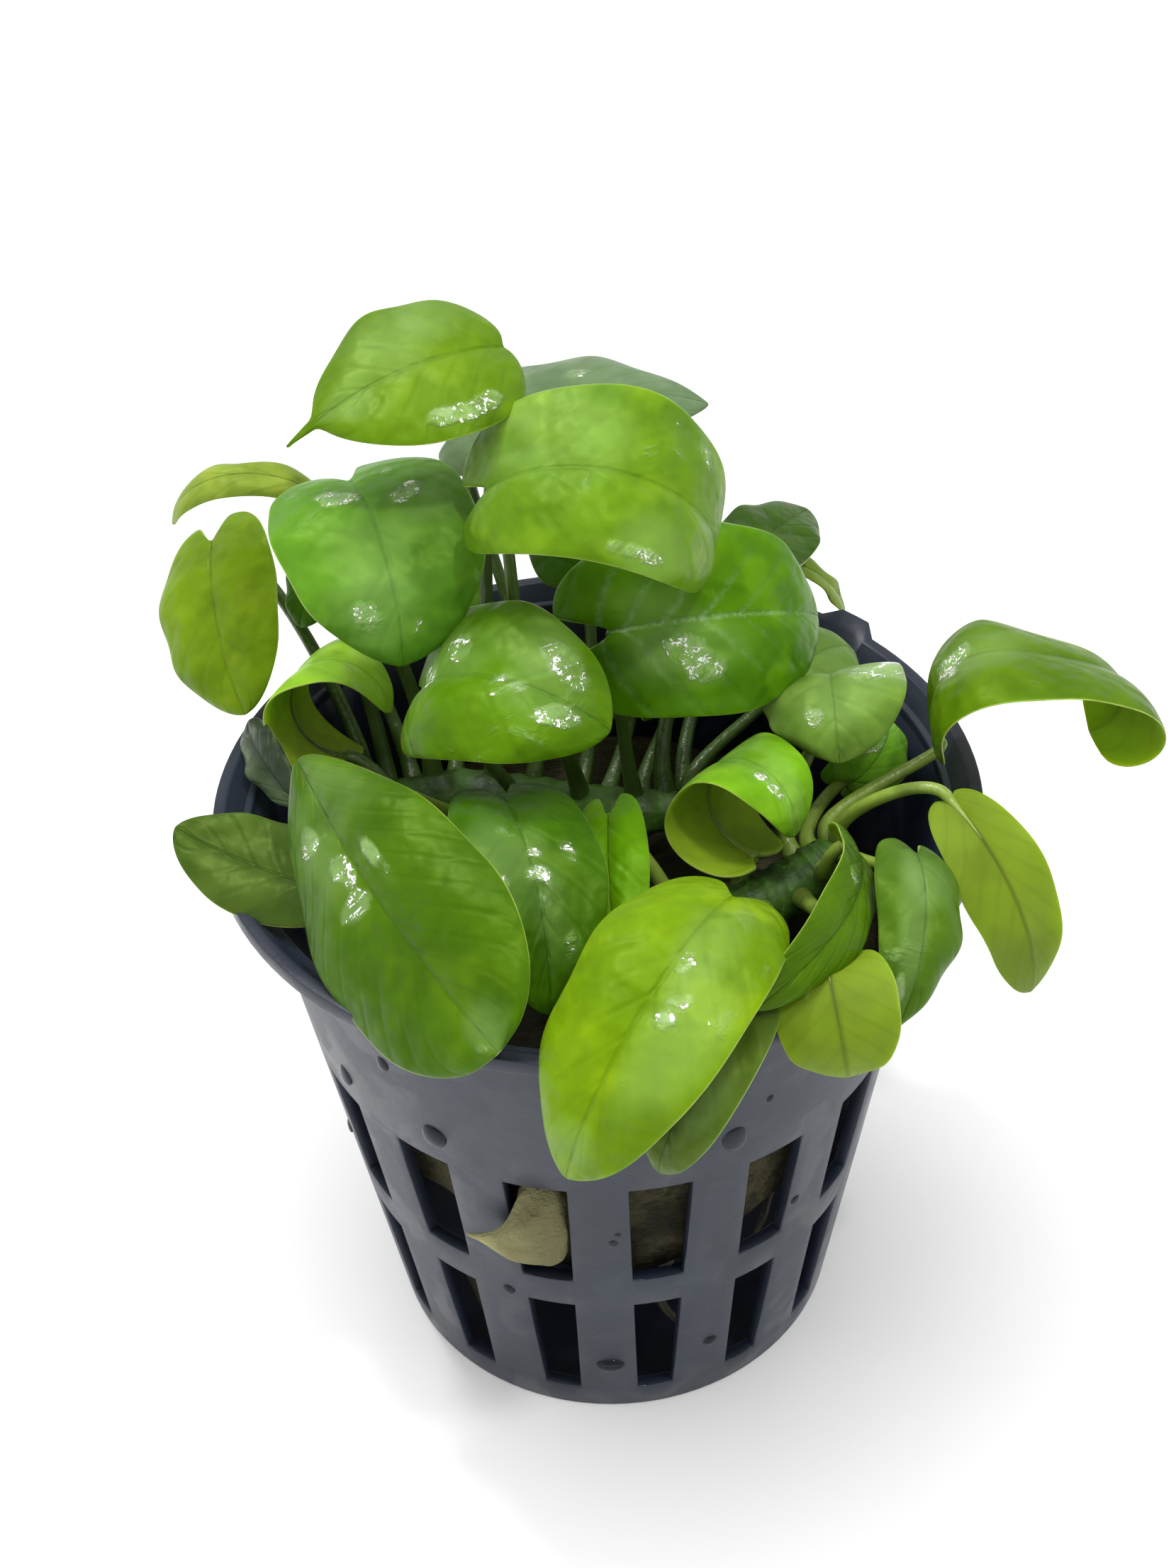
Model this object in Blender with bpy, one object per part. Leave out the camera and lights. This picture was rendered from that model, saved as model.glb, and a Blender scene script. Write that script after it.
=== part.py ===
"""Potted anubias: a slotted net pot, a wool plug, two creeping rhizomes, roots, and each leaf on its stalk.

Z is up and the origin is on the underside of the pot, at its centre. -Y is the front. Sizes are in millimetres
in the tables below, and MM turns them into Blender's metres.
"""

import cmath
import math
from dataclasses import dataclass

import bmesh
import bpy
from mathutils import Vector, noise
from mathutils.bvhtree import BVHTree

MM = 0.001
GAP = 0.3  # between pieces that touch

# Net pot
POT_HEIGHT = 48.7
POT_BASE_RADIUS = 18.3
POT_TOP_RADIUS = 25.0  # outer wall, just under the lip
LIP_RADIUS = 27.5
LIP_HEIGHT = 1.2
LIP_LAND = 0.9  # flat ring on top of the lip
POT_WALL = 1.1
SLOT_COLUMNS = 16
SLOT_TURN = math.radians(-3.0)  # the first rib stands this far round from the front
SLOT_ROWS = ((2.7, 15.6), (19.1, 31.2))  # bottom and top of each row
SLOT_WIDTH_LOW = 2.6  # at the pot's base
SLOT_WIDTH_RISE = 0.062  # and this much wider for each millimetre of height
FLOOR_RING = 10.0  # radius of a ring of points on the floor, which is closed
STEPS_PER_COLUMN = 4
LIP_TAB = (5, 3)  # the column and step of a small moulded tab on the lip

# Wool plug, wedged in the pot's taper
WOOL_BOTTOM = 20.5
WOOL_TOP = 38.5
WOOL_CLEARANCE = 0.6
WOOL_SAG = 4.5  # how far its underside hangs down at the front
WOOL_SIDES = 32
TUFT_COLUMN = -1  # the slot that a tuft of wool has worked through, counted from the front rib

# Leaves
BLADE_HALF_THICKNESS = 0.28
STALK_RADIUS = 0.6
BLADE_STATIONS = (0.0, 0.1, 0.22, 0.35, 0.48, 0.6, 0.71, 0.82, 0.92, 1.0)
MIDRIB_STEPS = 48
BLADE_ACROSS = (-1.0, -0.5, 0.0, 0.5, 1.0)
STALK_STATIONS = (0.0, 0.25, 0.5, 0.75, 0.93)
TIP_HALF_WIDTH = 0.12


@dataclass
class Leaf:
    """One leaf. Places are in millimetres, angles in degrees."""

    name: str
    rhizome: str  # the rhizome that it grows from
    along: float  # place on it, from 0 at its old end to 1 at its growing tip
    roll: float  # how far round the stem from its top, towards the front
    base: tuple  # where the blade meets the stalk
    tip: tuple
    face: tuple  # the way the upper side looks
    width: float
    bow: float = 2.5  # height of the midrib's arch over the line from base to tip, towards the face
    droop: tuple = (35, 35)  # how far each half curls down to its edge, left and right from the base
    vee: float = 12.0  # how far both halves rise beside the midrib
    twist: float = 0.0  # turn of the blade about its midrib, from base to tip
    lobes: float = 2.0  # how far the base lobes reach behind the stalk
    point: float = 0.62  # how pointed the blade is: less is blunter
    drip: float = 0.0  # share of its length that is a narrow drip tip
    lean: float = 0.0  # shifts the top of the arch towards the tip
    heel: float = 0.42  # how pointed the blade's base is: less is blunter
    curl: tuple = ()  # in place of bow, the midrib's slope at even steps along it, downwards positive
    stalk: tuple = ()  # a point that the stalk heads for, where it has to bend round a neighbour


@dataclass
class Rhizome:
    """A creeping stem. Its path runs from the old end to the growing tip, in millimetres."""

    name: str
    path: tuple
    radii: tuple


RHIZOMES = {
    "left": Rhizome(
        "rhizome_left",
        ((-17, 7, 42.0), (-11, 8, 42.0), (-4, 6, 42.2), (2, 4, 42.8), (7, 3.5, 44.0)),
        (1.7, 2.3, 2.4, 2.2, 1.2),
    ),
    "right": Rhizome(
        "rhizome_right",
        ((2, -6, 41.8), (7, -7, 42.0), (12, -6, 42.8), (15.5, -4.5, 44.0), (17.5, -3.2, 45.3)),
        (1.6, 2.2, 2.3, 2.1, 1.2),
    ),
}

LEAVES = (
    Leaf("leaf_crown_left", "left", 0.36, -20, (-5, 12.2, 77.7), (-19.6, 5.8, 74.4), (0, -0.42, 0.9), 11.9,
         bow=2.3, droop=(40, 38), lobes=0.5, heel=0.42, point=0.74, drip=0.15, stalk=(-9, 14.5, 60)),
    Leaf("leaf_crown_centre", "left", 0.62, 5, (-6.5, 4, 71.5), (8.3, 5.2, 64), (0.5, -0.42, 0.75), 13,
         bow=6.8, droop=(10, 50), lobes=3, point=0.48, stalk=(-8, 3, 60)),
    Leaf("leaf_left_heart", "left", 0.2, -20, (-16.5, 11, 68.5), (-13, 0.5, 60), (0.3, -0.6, 0.73),
         14.7, bow=3.8, droop=(20, 55), lobes=4),
    Leaf("leaf_centre_dome", "left", 0.5, 50, (-11.8, 0.2, 58), (1, -6, 58.5), (-0.1, -0.38, 0.92),
         12.4, bow=3.9, droop=(20, 50), lobes=3),
    Leaf("leaf_right_round", "left", 0.8, -10, (1.4, 4.1, 59.5), (16.7, 9.9, 56), (0.39, -0.66, 0.64),
         14, bow=4.2, droop=(30, 38), lobes=4.5),
    Leaf("leaf_back_grey", "left", 0.45, -60, (-9, 20.5, 67), (9.5, 20.5, 68), (-0.05, 0, 1), 14, bow=2,
         droop=(35, 50), point=0.8),
    Leaf("leaf_left_curl", "left", 0.08, -40, (-19.5, 16.5, 64), (-30.5, 17, 62), (-0.2, -0.3, 0.9),
         3.5, bow=4, droop=(60, 60), stalk=(-17, 10.4, 57.2)),
    Leaf("leaf_left_hanging", "left", 0.0, -60, (-28.5, 20, 58.5), (-26, 9, 50), (-0.45, -0.6, 0.66),
         11.5, bow=1.5, droop=(30, 40), stalk=(-23, 17, 56)),
    Leaf("leaf_left_under", "left", 0.15, -70, (-19.2, 19.5, 56.5), (-22, 15.5, 53.3),
         (-0.2, -0.57, 0.8), 5, bow=1.5, droop=(38, 40)),
    Leaf("leaf_left_roll", "left", 0.12, 60, (-18.8, 7, 46.9), (-15, 6.8, 51.2), (-0.64, 0.34, 0.69),
         8.6, bow=6.9, droop=(10, 10), vee=5, lobes=1),
    Leaf("leaf_left_narrow", "left", 0.05, 75, (-21.2, -1.5, 49.7), (-25.6, 8, 50.1),
         (-0.75, 0.1, 0.65), 3.6, bow=1.2, lobes=0, heel=0.6),
    Leaf("leaf_left_rim", "left", 0.28, 75, (-18.5, -12, 51), (-29.1, -6.2, 52), (-0.1, -0.28, 0.95),
         7.6, bow=-1, droop=(36, 15)),
    Leaf("leaf_front_left", "left", 0.38, 70, (-19.8, -7.1, 58.1), (-6.7, -28.3, 51.5),
         (-0.58, -0.58, 0.57), 15, bow=1.4, droop=(65, 31), lobes=0, heel=0.8, point=0.5),
    Leaf("leaf_front_centre", "right", 0.02, 40, (-6.5, -7, 54), (-3.7, -21.4, 47.5),
         (0.3, -0.34, 0.89), 9.9, bow=2.9, droop=(13, 37)),
    Leaf("leaf_front_inner", "right", 0.15, 0, (0.7, -5.7, 51), (0.9, -16.6, 46.5),
         (-0.25, -0.37, 0.89), 5.8, bow=1.1, droop=(27, 35)),
    Leaf("leaf_front_bright", "right", 0.45, 60, (8.3, -18.4, 54.4), (-3, -31.4, 43.5),
         (-0.16, -0.55, 0.82), 12, bow=5.8, droop=(34, 54)),
    Leaf("leaf_front_under", "right", 0.3, 75, (8.3, -25.1, 51), (2.8, -30.5, 42.6),
         (-0.38, -0.67, 0.64), 6.4, bow=2.6, droop=(25, 36)),
    Leaf("leaf_right_arch", "right", 0.42, -30, (11, -5.6, 46.4), (13.4, -7.2, 49.6),
         (-0.38, 0.46, 0.79), 9.5, bow=7, droop=(10, 10), vee=5, lobes=1),
    Leaf("leaf_right_heart", "right", 0.7, -58, (17.2, 5, 54.1), (17.1, -2.3, 52), (-0.16, -0.28, 0.95),
         10.8, bow=2.4, droop=(24, 58)),
    Leaf("leaf_right_inner", "right", 0.82, -65, (18.6, 2.6, 46), (21.6, 6.4, 49), (0.23, -0.87, 0.43),
         5.4, bow=2.2, droop=(50, 32)),
    Leaf("leaf_far_right", "right", 0.95, -40, (24.5, 1, 51), (35.4, 1, 51.2), (0.08, -0.1, 0.98), 12.4,
         droop=(44, 30), twist=28, lobes=0, heel=0.42, point=0.34,
         curl=(-98, -90, -42, 14, 20, 30, 98, 165)),
    Leaf("leaf_right_hanging", "right", 1.0, 0, (23.8, -8.4, 53.1), (29.2, -14.6, 41),
         (-0.35, 0.8, -0.5), 6.6, bow=-3.3, droop=(15, 25), lobes=0.6, heel=0.46),
    Leaf("leaf_right_folded", "right", 0.9, 40, (20.9, -12.6, 52.3), (18.6, -21.9, 45.6),
         (0.3, -0.6, 0.75), 6.8, bow=2.8, droop=(60, 50), point=0.85),
    Leaf("leaf_right_sweep", "right", 0.75, 50, (16.8, -9, 50.3), (8.9, -26, 52), (0.72, -0.4, 0.57),
         4.9, bow=3.8, droop=(30, 30)),
    Leaf("leaf_right_pale", "right", 0.6, 70, (14, -21.5, 51), (15, -25.9, 45.6), (0.05, 0.85, -0.53),
         8, bow=-3, droop=(5, 25)),
    Leaf("leaf_back_right", "left", 0.9, -30, (10.8, 13, 58.8), (17.6, 24.3, 56.2), (0.42, -0.05, 0.91),
         7, bow=0.6, droop=(36, 21)),
    Leaf("leaf_back_sliver", "left", 0.97, -60, (17.3, 21, 53), (20.5, 22, 46.5), (0.5, -0.2, 0.8), 2.5,
         bow=1),
    Leaf("leaf_right_low", "left", 1.0, 0, (14, 10, 50), (20, 14, 50), (0.1, -0.3, 0.95), 8, bow=1.5),
    Leaf("leaf_rear_left", "left", 0.25, -80, (-11, 17, 53), (-16, 29, 51), (-0.1, 0.25, 0.97), 10,
         bow=2),
    Leaf("leaf_rear_centre", "left", 0.58, -80, (0, 18, 56), (3, 31, 51), (0, 0.35, 0.94), 11, bow=2.5),
    Leaf("leaf_rear_right", "left", 0.8, -80, (8.5, 14, 53), (13.5, 25.5, 50.5), (0.1, 0.3, 0.95), 9.5,
         bow=2),
    Leaf("leaf_rear_low", "left", 0.68, -70, (3.2, 12.2, 47.8), (4.5, 19.5, 46.8), (0, 0.2, 0.98), 6,
         bow=1.5),
)


@dataclass
class Root:
    """A root that hangs from the wool into the lower half of the pot, which it leaves at its first place."""

    name: str
    start: tuple
    path: tuple


ROOTS = (
    Root("root_front", (4, -9), ((6, -11, 14), (3, -13.5, 8), (7, -14.3, 3))),
    Root("root_front_left", (-6, -6), ((-9, -8, 13), (-12, -9, 8), (-10, -12.5, 2.5))),
    Root("root_right", (9, 3), ((12, 4, 13), (14, 0, 7), (11, -6, 2.5))),
    Root("root_back", (-4, 8), ((-5, 12, 13), (-9, 12.5, 7), (-3, 14, 2.4))),
    Root("root_centre", (0, 0), ((1, 2, 12), (-3, -2, 7), (2, -4, 2.3))),
)
ROOT_RADII = (0.55, 0.5, 0.42, 0.25)


def clear_scene():
    for obj in list(bpy.data.objects):
        bpy.data.objects.remove(obj)


def material(name, colour, roughness, metallic=0.0):
    """A plain Principled material of one colour."""
    made = bpy.data.materials.new(name)
    made.use_nodes = True
    shader = made.node_tree.nodes["Principled BSDF"]
    shader.inputs["Base Color"].default_value = (*colour, 1.0)
    shader.inputs["Roughness"].default_value = roughness
    shader.inputs["Metallic"].default_value = metallic
    return made


def object_of(bm, name, finish, smooth_degrees=None):
    """Puts the bmesh, built in millimetres, in the scene as one named object in metres."""
    bmesh.ops.recalc_face_normals(bm, faces=bm.faces)
    bmesh.ops.scale(bm, vec=(MM, MM, MM), verts=bm.verts)
    mesh = bpy.data.meshes.new(name)
    bm.to_mesh(mesh)
    bm.free()
    if smooth_degrees is not None:
        mesh.shade_smooth()
        mesh.set_sharp_from_angle(angle=math.radians(smooth_degrees))
    mesh.materials.append(finish)
    obj = bpy.data.objects.new(name, mesh)
    bpy.context.scene.collection.objects.link(obj)
    return obj


# The net pot ---------------------------------------------------------------------------------------------


def wall_radius(z):
    """Outer radius of the pot's wall at height z."""
    top = POT_HEIGHT - LIP_HEIGHT
    return POT_BASE_RADIUS + (POT_TOP_RADIUS - POT_BASE_RADIUS) * z / top


def slot_width(z):
    return SLOT_WIDTH_LOW + SLOT_WIDTH_RISE * z


def column_angle(column):
    """Angle of a slot column's middle, measured from the front (-Y) towards +X."""
    return SLOT_TURN + (column + 0.5) * math.tau / SLOT_COLUMNS


def pot_profile():
    """The pot's section as (radius, height): up the outside, over the lip and down the inside."""
    levels = [z for row in SLOT_ROWS for z in row]
    lip_bottom = POT_HEIGHT - LIP_HEIGHT
    outside = [(0, 0), (FLOOR_RING, 0), (POT_BASE_RADIUS, 0)]
    outside += [(wall_radius(z), z) for z in levels]
    lip = [
        (POT_TOP_RADIUS, lip_bottom),
        (LIP_RADIUS, lip_bottom),
        (LIP_RADIUS, POT_HEIGHT),
        (LIP_RADIUS - LIP_LAND, POT_HEIGHT),
        (POT_TOP_RADIUS - POT_WALL, POT_HEIGHT - 2.5 * LIP_HEIGHT),
    ]
    inside = [(wall_radius(z) - POT_WALL, z) for z in reversed(levels)]
    floor = [(r, POT_WALL) for r in (POT_BASE_RADIUS - POT_WALL, FLOOR_RING, 0)]
    return outside + lip + inside + floor


def make_net_pot(finish):
    bm = bmesh.new()
    steps = SLOT_COLUMNS * STEPS_PER_COLUMN
    profile = pot_profile()
    verts = [bm.verts.new((0, -r, z)) for r, z in profile]
    edges = [bm.edges.new(pair) for pair in zip(verts, verts[1:])]
    bmesh.ops.spin(
        bm, geom=verts + edges, angle=math.tau, steps=steps, axis=(0, 0, 1), cent=(0, 0, 0), use_merge=True
    )
    bmesh.ops.remove_doubles(bm, verts=bm.verts, dist=0.001)
    step = math.tau / steps
    column_of = {}
    for vert in bm.verts:
        radius = math.hypot(vert.co.x, vert.co.y)
        if radius < 0.01:
            continue
        index = round(math.atan2(vert.co.x, -vert.co.y) / step) % steps
        column, place = divmod(index, STEPS_PER_COLUMN)
        column_of[vert] = (column, place)
        # place 0 and 2 are a slot's edges, 1 its middle and 3 the rib's middle
        angle = column_angle(column)
        if place in (0, 2):
            narrow = 0.5 * slot_width(vert.co.z) / max(radius, FLOOR_RING)
            angle += narrow * (place - 1)
        elif place == 3:
            angle += 0.5 * math.tau / SLOT_COLUMNS
        vert.co = (radius * math.sin(angle), -radius * math.cos(angle), vert.co.z)
    raise_lip_tab(column_of)
    openings = []
    for face in bm.faces:
        places = [column_of.get(v) for v in face.verts]
        if None in places or len({column for column, _ in places}) != 1:
            continue
        if max(place for _, place in places) > 2:
            continue
        middle = face.calc_center_median().z
        if any(low < middle < high for low, high in SLOT_ROWS):
            openings.append(face)
    bmesh.ops.delete(bm, geom=openings, context="FACES")
    bridge_slots(bm, column_of)
    return object_of(bm, "net_pot", finish, smooth_degrees=35)


def raise_lip_tab(column_of):
    """The small moulded tab that stands out from the lip above one rib."""
    for vert, place in column_of.items():
        if place == LIP_TAB and vert.co.xy.length > LIP_RADIUS - LIP_LAND / 2:
            vert.co.xy *= 1 + 0.9 / LIP_RADIUS
            if vert.co.z > POT_HEIGHT - LIP_HEIGHT / 2:
                vert.co.z += 0.5


def bridge_slots(bm, column_of):
    """Joins the outer and inner border of every slot, so that the wall shows its thickness there."""
    borders = {}
    for edge in bm.edges:
        if not edge.is_boundary:
            continue
        middle = (edge.verts[0].co + edge.verts[1].co) / 2
        column = column_of[edge.verts[0]][0]
        row = sum(middle.z > 0.5 * (low + high) for low, high in ROW_GAPS)
        borders.setdefault((column, row), []).append(edge)
    for edges in borders.values():
        bmesh.ops.bridge_loops(bm, edges=edges)


ROW_GAPS = tuple((below[1], above[0]) for below, above in zip(SLOT_ROWS, SLOT_ROWS[1:]))


# Wool plug -----------------------------------------------------------------------------------------------


def wool_radius(z):
    return wall_radius(z) - POT_WALL - WOOL_CLEARANCE


def make_wool_plug(finish):
    """A tapered plug with a torn, uneven top and underside, and a tuft that has worked out through one slot.

    Returns the plug's surface, for the roots to find.
    """
    bm = bmesh.new()
    section = [(0, WOOL_BOTTOM), (9, WOOL_BOTTOM + 0.4), (wool_radius(WOOL_BOTTOM), WOOL_BOTTOM)]
    section += [(wool_radius(z), z) for z in (26.5, 32.5)]
    section += [(wool_radius(WOOL_TOP) - 1, WOOL_TOP - 1), (12, WOOL_TOP), (0, WOOL_TOP)]
    verts = [bm.verts.new((0, -r, z)) for r, z in section]
    edges = [bm.edges.new(pair) for pair in zip(verts, verts[1:])]
    bmesh.ops.spin(
        bm,
        geom=verts + edges,
        angle=math.tau,
        steps=WOOL_SIDES,
        axis=(0, 0, 1),
        cent=(0, 0, 0),
        use_merge=True,
    )
    bmesh.ops.remove_doubles(bm, verts=bm.verts, dist=0.001)
    for vert in bm.verts:
        radius = math.hypot(vert.co.x, vert.co.y)
        torn = noise.noise(Vector((vert.co.x, vert.co.y, 0)) * 0.16)
        lower = vert.co.z < (WOOL_BOTTOM + WOOL_TOP) / 2
        vert.co.z += (2.6 if lower else 1.2) * torn * (radius > 1)
        if lower:
            vert.co.z += 2.0 * max(0.0, -vert.co.x / wool_radius(WOOL_BOTTOM))
            vert.co.z -= WOOL_SAG * max(0.0, -vert.co.y / wool_radius(WOOL_BOTTOM)) ** 8
        if radius > 1:
            shrink = min(1.0, wool_radius(vert.co.z) / radius)
            vert.co.x *= shrink
            vert.co.y *= shrink
    surface = BVHTree.FromBMesh(bm)
    plug = object_of(bm, "wool_plug", finish, smooth_degrees=50)
    tuft = make_tuft(finish)
    union = plug.modifiers.new("tuft", "BOOLEAN")
    union.operation = "UNION"
    union.object = tuft
    return surface


def make_tuft(finish):
    """The wool that bulges through a slot: a neck inside the slot and a ragged head drawn out to one side."""
    angle = column_angle(TUFT_COLUMN)
    outward = Vector((math.sin(angle), -math.cos(angle), 0))
    across = Vector((math.cos(angle), math.sin(angle), 0))
    low, high = SLOT_ROWS[1]
    outer = wall_radius((low + high) / 2)
    # distance from the axis, sideways shift, half width, lower and upper height, turn to the left in degrees
    sections = (
        (outer - 6.0, 0.1, 1.4, low + 1.2, high - 1.4, 0),
        (outer - 0.3, 0.1, 1.6, low + 1.2, high - 1.0, 0),
        (outer + 0.7, -0.5, 1.35, low + 2.6, high - 2.2, 25),
        (outer + 1.2, -2.0, 0.6, low + 3.8, high - 4.4, 70),
        (outer + 1.1, -3.6, 0.35, low + 4.5, low + 6.4, 85),
        (outer + 0.9, -5.3, 0.12, low + 5.2, low + 5.6, 90),
    )
    bm = bmesh.new()
    rings = []
    for reach, shift, half, bottom, top, degrees in sections:
        turn = math.radians(degrees)
        sideways = across * math.cos(turn) + outward * math.sin(turn)
        corners = ((-half, bottom), (half, bottom), (half, top), (-half, top))
        middle = outward * reach + across * shift
        rings.append([bm.verts.new(middle + sideways * x + Vector((0, 0, z))) for x, z in corners])
    join_rings(bm, rings)
    tuft = object_of(bm, "tuft_shape", finish)
    tuft.hide_render = True
    tuft.display_type = "WIRE"
    return tuft


def join_rings(bm, rings):
    """Skins a row of rings that have the same number of points, and closes both ends."""
    for ring in rings:
        for a, b in zip(ring, ring[1:] + ring[:1]):
            bm.edges.new((a, b))
    for first, second in zip(rings, rings[1:]):
        count = len(first)
        for i in range(count):
            j = (i + 1) % count
            bm.faces.new((first[i], first[j], second[j], second[i]))
    bm.faces.new(rings[0])
    bm.faces.new(rings[-1])


# Rhizomes and roots --------------------------------------------------------------------------------------


def path_point(path, share):
    """The point and direction at this share, 0 to 1, of a smooth curve through the path's points."""
    points = [Vector(p) for p in path]
    spans = len(points) - 1
    place = min(max(share, 0.0), 1.0) * spans
    index = min(int(place), spans - 1)
    t = place - index
    before = points[max(index - 1, 0)]
    a, b = points[index], points[index + 1]
    after = points[min(index + 2, spans)]
    leave, arrive = (b - before) / 2, (after - a) / 2
    t2, t3 = t * t, t * t * t
    point = a * (2 * t3 - 3 * t2 + 1) + leave * (t3 - 2 * t2 + t)
    point += b * (3 * t2 - 2 * t3) + arrive * (t3 - t2)
    slope = a * (6 * t2 - 6 * t) + leave * (3 * t2 - 4 * t + 1)
    slope += b * (6 * t - 6 * t2) + arrive * (3 * t2 - 2 * t)
    return point, slope.normalized()


def value_along(values, share):
    place = share * (len(values) - 1)
    index = min(int(place), len(values) - 2)
    return values[index] + (values[index + 1] - values[index]) * (place - index)


def make_tube(name, path, radii, finish, points=14, sides=3):
    """A round stem or root: a beveled curve along a smooth path, with closed ends."""
    curve = bpy.data.curves.new(name, "CURVE")
    curve.dimensions = "3D"
    curve.bevel_depth = MM
    curve.bevel_resolution = sides - 1
    curve.use_fill_caps = True
    spline = curve.splines.new("POLY")
    spline.points.add(points - 1)
    for i, point in enumerate(spline.points):
        share = i / (points - 1)
        place, _ = path_point(path, share)
        point.co = (*(place * MM), 1.0)
        point.radius = value_along(radii, share)
    curve.materials.append(finish)
    obj = bpy.data.objects.new(name, curve)
    bpy.context.scene.collection.objects.link(obj)
    return obj


def make_rhizome(rhizome, finish):
    return make_tube(rhizome.name, rhizome.path, rhizome.radii, finish, points=15, sides=3)


def make_root(root, wool_surface, finish):
    x, y = root.start
    under = wool_surface.ray_cast(Vector((x, y, 0)), Vector((0, 0, 1)))[0]
    path = ((x, y, under.z - GAP), *root.path)
    return make_tube(root.name, path, ROOT_RADII, finish, points=12, sides=2)


# Leaves --------------------------------------------------------------------------------------------------


def arc_offset(start, turn, length):
    """How far (across, up) an arc of this length goes from its starting slope, turning down by an angle."""
    if abs(turn) < 1e-4:
        return length * math.cos(start), length * math.sin(start)
    radius = length / turn
    end = start - turn
    return radius * (math.sin(start) - math.sin(end)), radius * (math.cos(end) - math.cos(start))


def outline(share, heel, point, drip):
    """Width of the blade at this share of its length, 0 to 1: broad near the base, pointed at the tip."""
    body = min(share / (1.0 - drip), 1.0)
    widest = (heel - 0.075 * point) / (heel + point)
    most = (widest + 0.075) ** heel * (1.0 - widest) ** point
    return (body + 0.075) ** heel * (1.0 - body) ** point / most + 3.5 * drip * (1.0 - share) * share**2


class Blade:
    """The curved sheet of one leaf: a point and a normal for each share along it and place across it."""

    def __init__(self, leaf):
        self.leaf = leaf
        self.base = Vector(leaf.base)
        chord = Vector(leaf.tip) - self.base
        self.length = chord.length
        self.along = chord.normalized()
        face = Vector(leaf.face)
        self.up = (face - face.dot(self.along) * self.along).normalized()
        half_turn = 2 * math.atan(2 * leaf.bow / self.length)
        self.slopes = [math.radians(a) for a in leaf.curl] or [-half_turn, half_turn]
        places = [0j]
        for i in range(MIDRIB_STEPS):
            places.append(places[-1] + cmath.exp(-1j * value_along(self.slopes, (i + 0.5) / MIDRIB_STEPS)))
        self.turned = self.length / places[-1]
        self.midrib = [place * self.turned for place in places]

    def frame(self, share):
        """The midrib's point, direction, and the blade's normal and side direction there."""
        flat = value_along(self.midrib, share)
        angle = value_along(self.slopes, share) - cmath.phase(self.turned)
        point = self.base + self.along * (flat.real + self.leaf.lean * flat.imag) + self.up * flat.imag
        forward = self.along * math.cos(angle) - self.up * math.sin(angle)
        normal = self.along * math.sin(angle) + self.up * math.cos(angle)
        side = forward.cross(normal)
        turn = math.radians(self.leaf.twist) * share
        return (
            point,
            forward,
            normal * math.cos(turn) - side * math.sin(turn),
            side * math.cos(turn) + normal * math.sin(turn),
        )

    def point(self, share, across):
        point, forward, normal, side = self.frame(share)
        leaf = self.leaf
        fullness = outline(share, leaf.heel, leaf.point, leaf.drip)
        half_width = max(0.5 * leaf.width * fullness, TIP_HALF_WIDTH)
        droop = math.radians(self.leaf.droop[0 if across < 0 else 1])
        reach = abs(across)
        sideways, height = arc_offset(math.radians(self.leaf.vee), droop * reach, half_width * reach)
        back = self.leaf.lobes * (1 - share) ** 3 * reach**1.5
        place = point + side * math.copysign(sideways, across) + normal * height - forward * back
        slope = math.radians(self.leaf.vee) - droop * reach
        lean = -math.sin(slope) * math.copysign(1.0, across)
        return place, (normal * math.cos(slope) + side * lean).normalized()


def stalk_root(leaf):
    """Where the stalk leaves its rhizome, just clear of the surface, and the way that it starts."""
    rhizome = RHIZOMES[leaf.rhizome]
    centre, direction = path_point(rhizome.path, leaf.along)
    flank = direction.cross(Vector((0, 0, 1))).normalized()
    roll = math.radians(leaf.roll)
    out = direction.cross(flank) * -math.cos(roll) + flank * math.sin(roll)
    radius = value_along(rhizome.radii, leaf.along)
    return centre + out * (radius + GAP + 0.15), out


def stalk_curve(leaf, blade):
    """The stalk's centre line as a function of its share, 0 at the rhizome and 1 at the blade."""
    root, out = stalk_root(leaf)
    base, forward, normal, _ = blade.frame(0.0)
    reach = (base - root).length
    arrive = (forward * 0.45 + normal * 0.9).normalized()
    if leaf.stalk:
        control = (root, root + out * reach * 0.25, Vector(leaf.stalk), base - arrive * reach * 0.25, base)
        return lambda share: bezier(control, share)
    control = (root, root + out * reach * 0.3, base - arrive * reach * 0.3, base)
    return lambda share: bezier(control, share)


def bezier(control, share):
    points = list(control)
    while len(points) > 1:
        points = [a.lerp(b, share) for a, b in zip(points, points[1:])]
    return points[0]


def make_leaf(leaf, finish):
    """A leaf as one skin: rings up the stalk, which open into the blade's thin cross-sections."""
    blade = Blade(leaf)
    curve = stalk_curve(leaf, blade)
    bm = bmesh.new()
    rings = []
    side = blade.frame(0.0)[3]
    count = 2 * (len(BLADE_ACROSS) - 1)
    for share in STALK_STATIONS:
        centre = curve(share)
        direction = (curve(share + 0.02) - curve(share - 0.02 if share else 0.0)).normalized()
        across = (side - side.dot(direction) * direction).normalized()
        up = across.cross(direction)
        radius = STALK_RADIUS * (1.15 - 0.35 * share)
        ring = []
        for i in range(count):
            angle = math.pi - i * math.tau / count
            offset = across * math.cos(angle) + up * math.sin(angle)
            ring.append(bm.verts.new(centre + radius * offset))
        rings.append(ring)
    for share in BLADE_STATIONS:
        top, under = [], []
        for across in BLADE_ACROSS:
            place, normal = blade.point(share, across)
            thick = BLADE_HALF_THICKNESS * (1 - 0.45 * share)
            if abs(across) == 1.0:
                top.append(bm.verts.new(place))
            else:
                top.append(bm.verts.new(place + normal * thick))
                under.append(bm.verts.new(place - normal * thick))
        rings.append(top + under[::-1])
    join_rings(bm, rings)
    return object_of(bm, leaf.name, finish, smooth_degrees=60)


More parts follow.
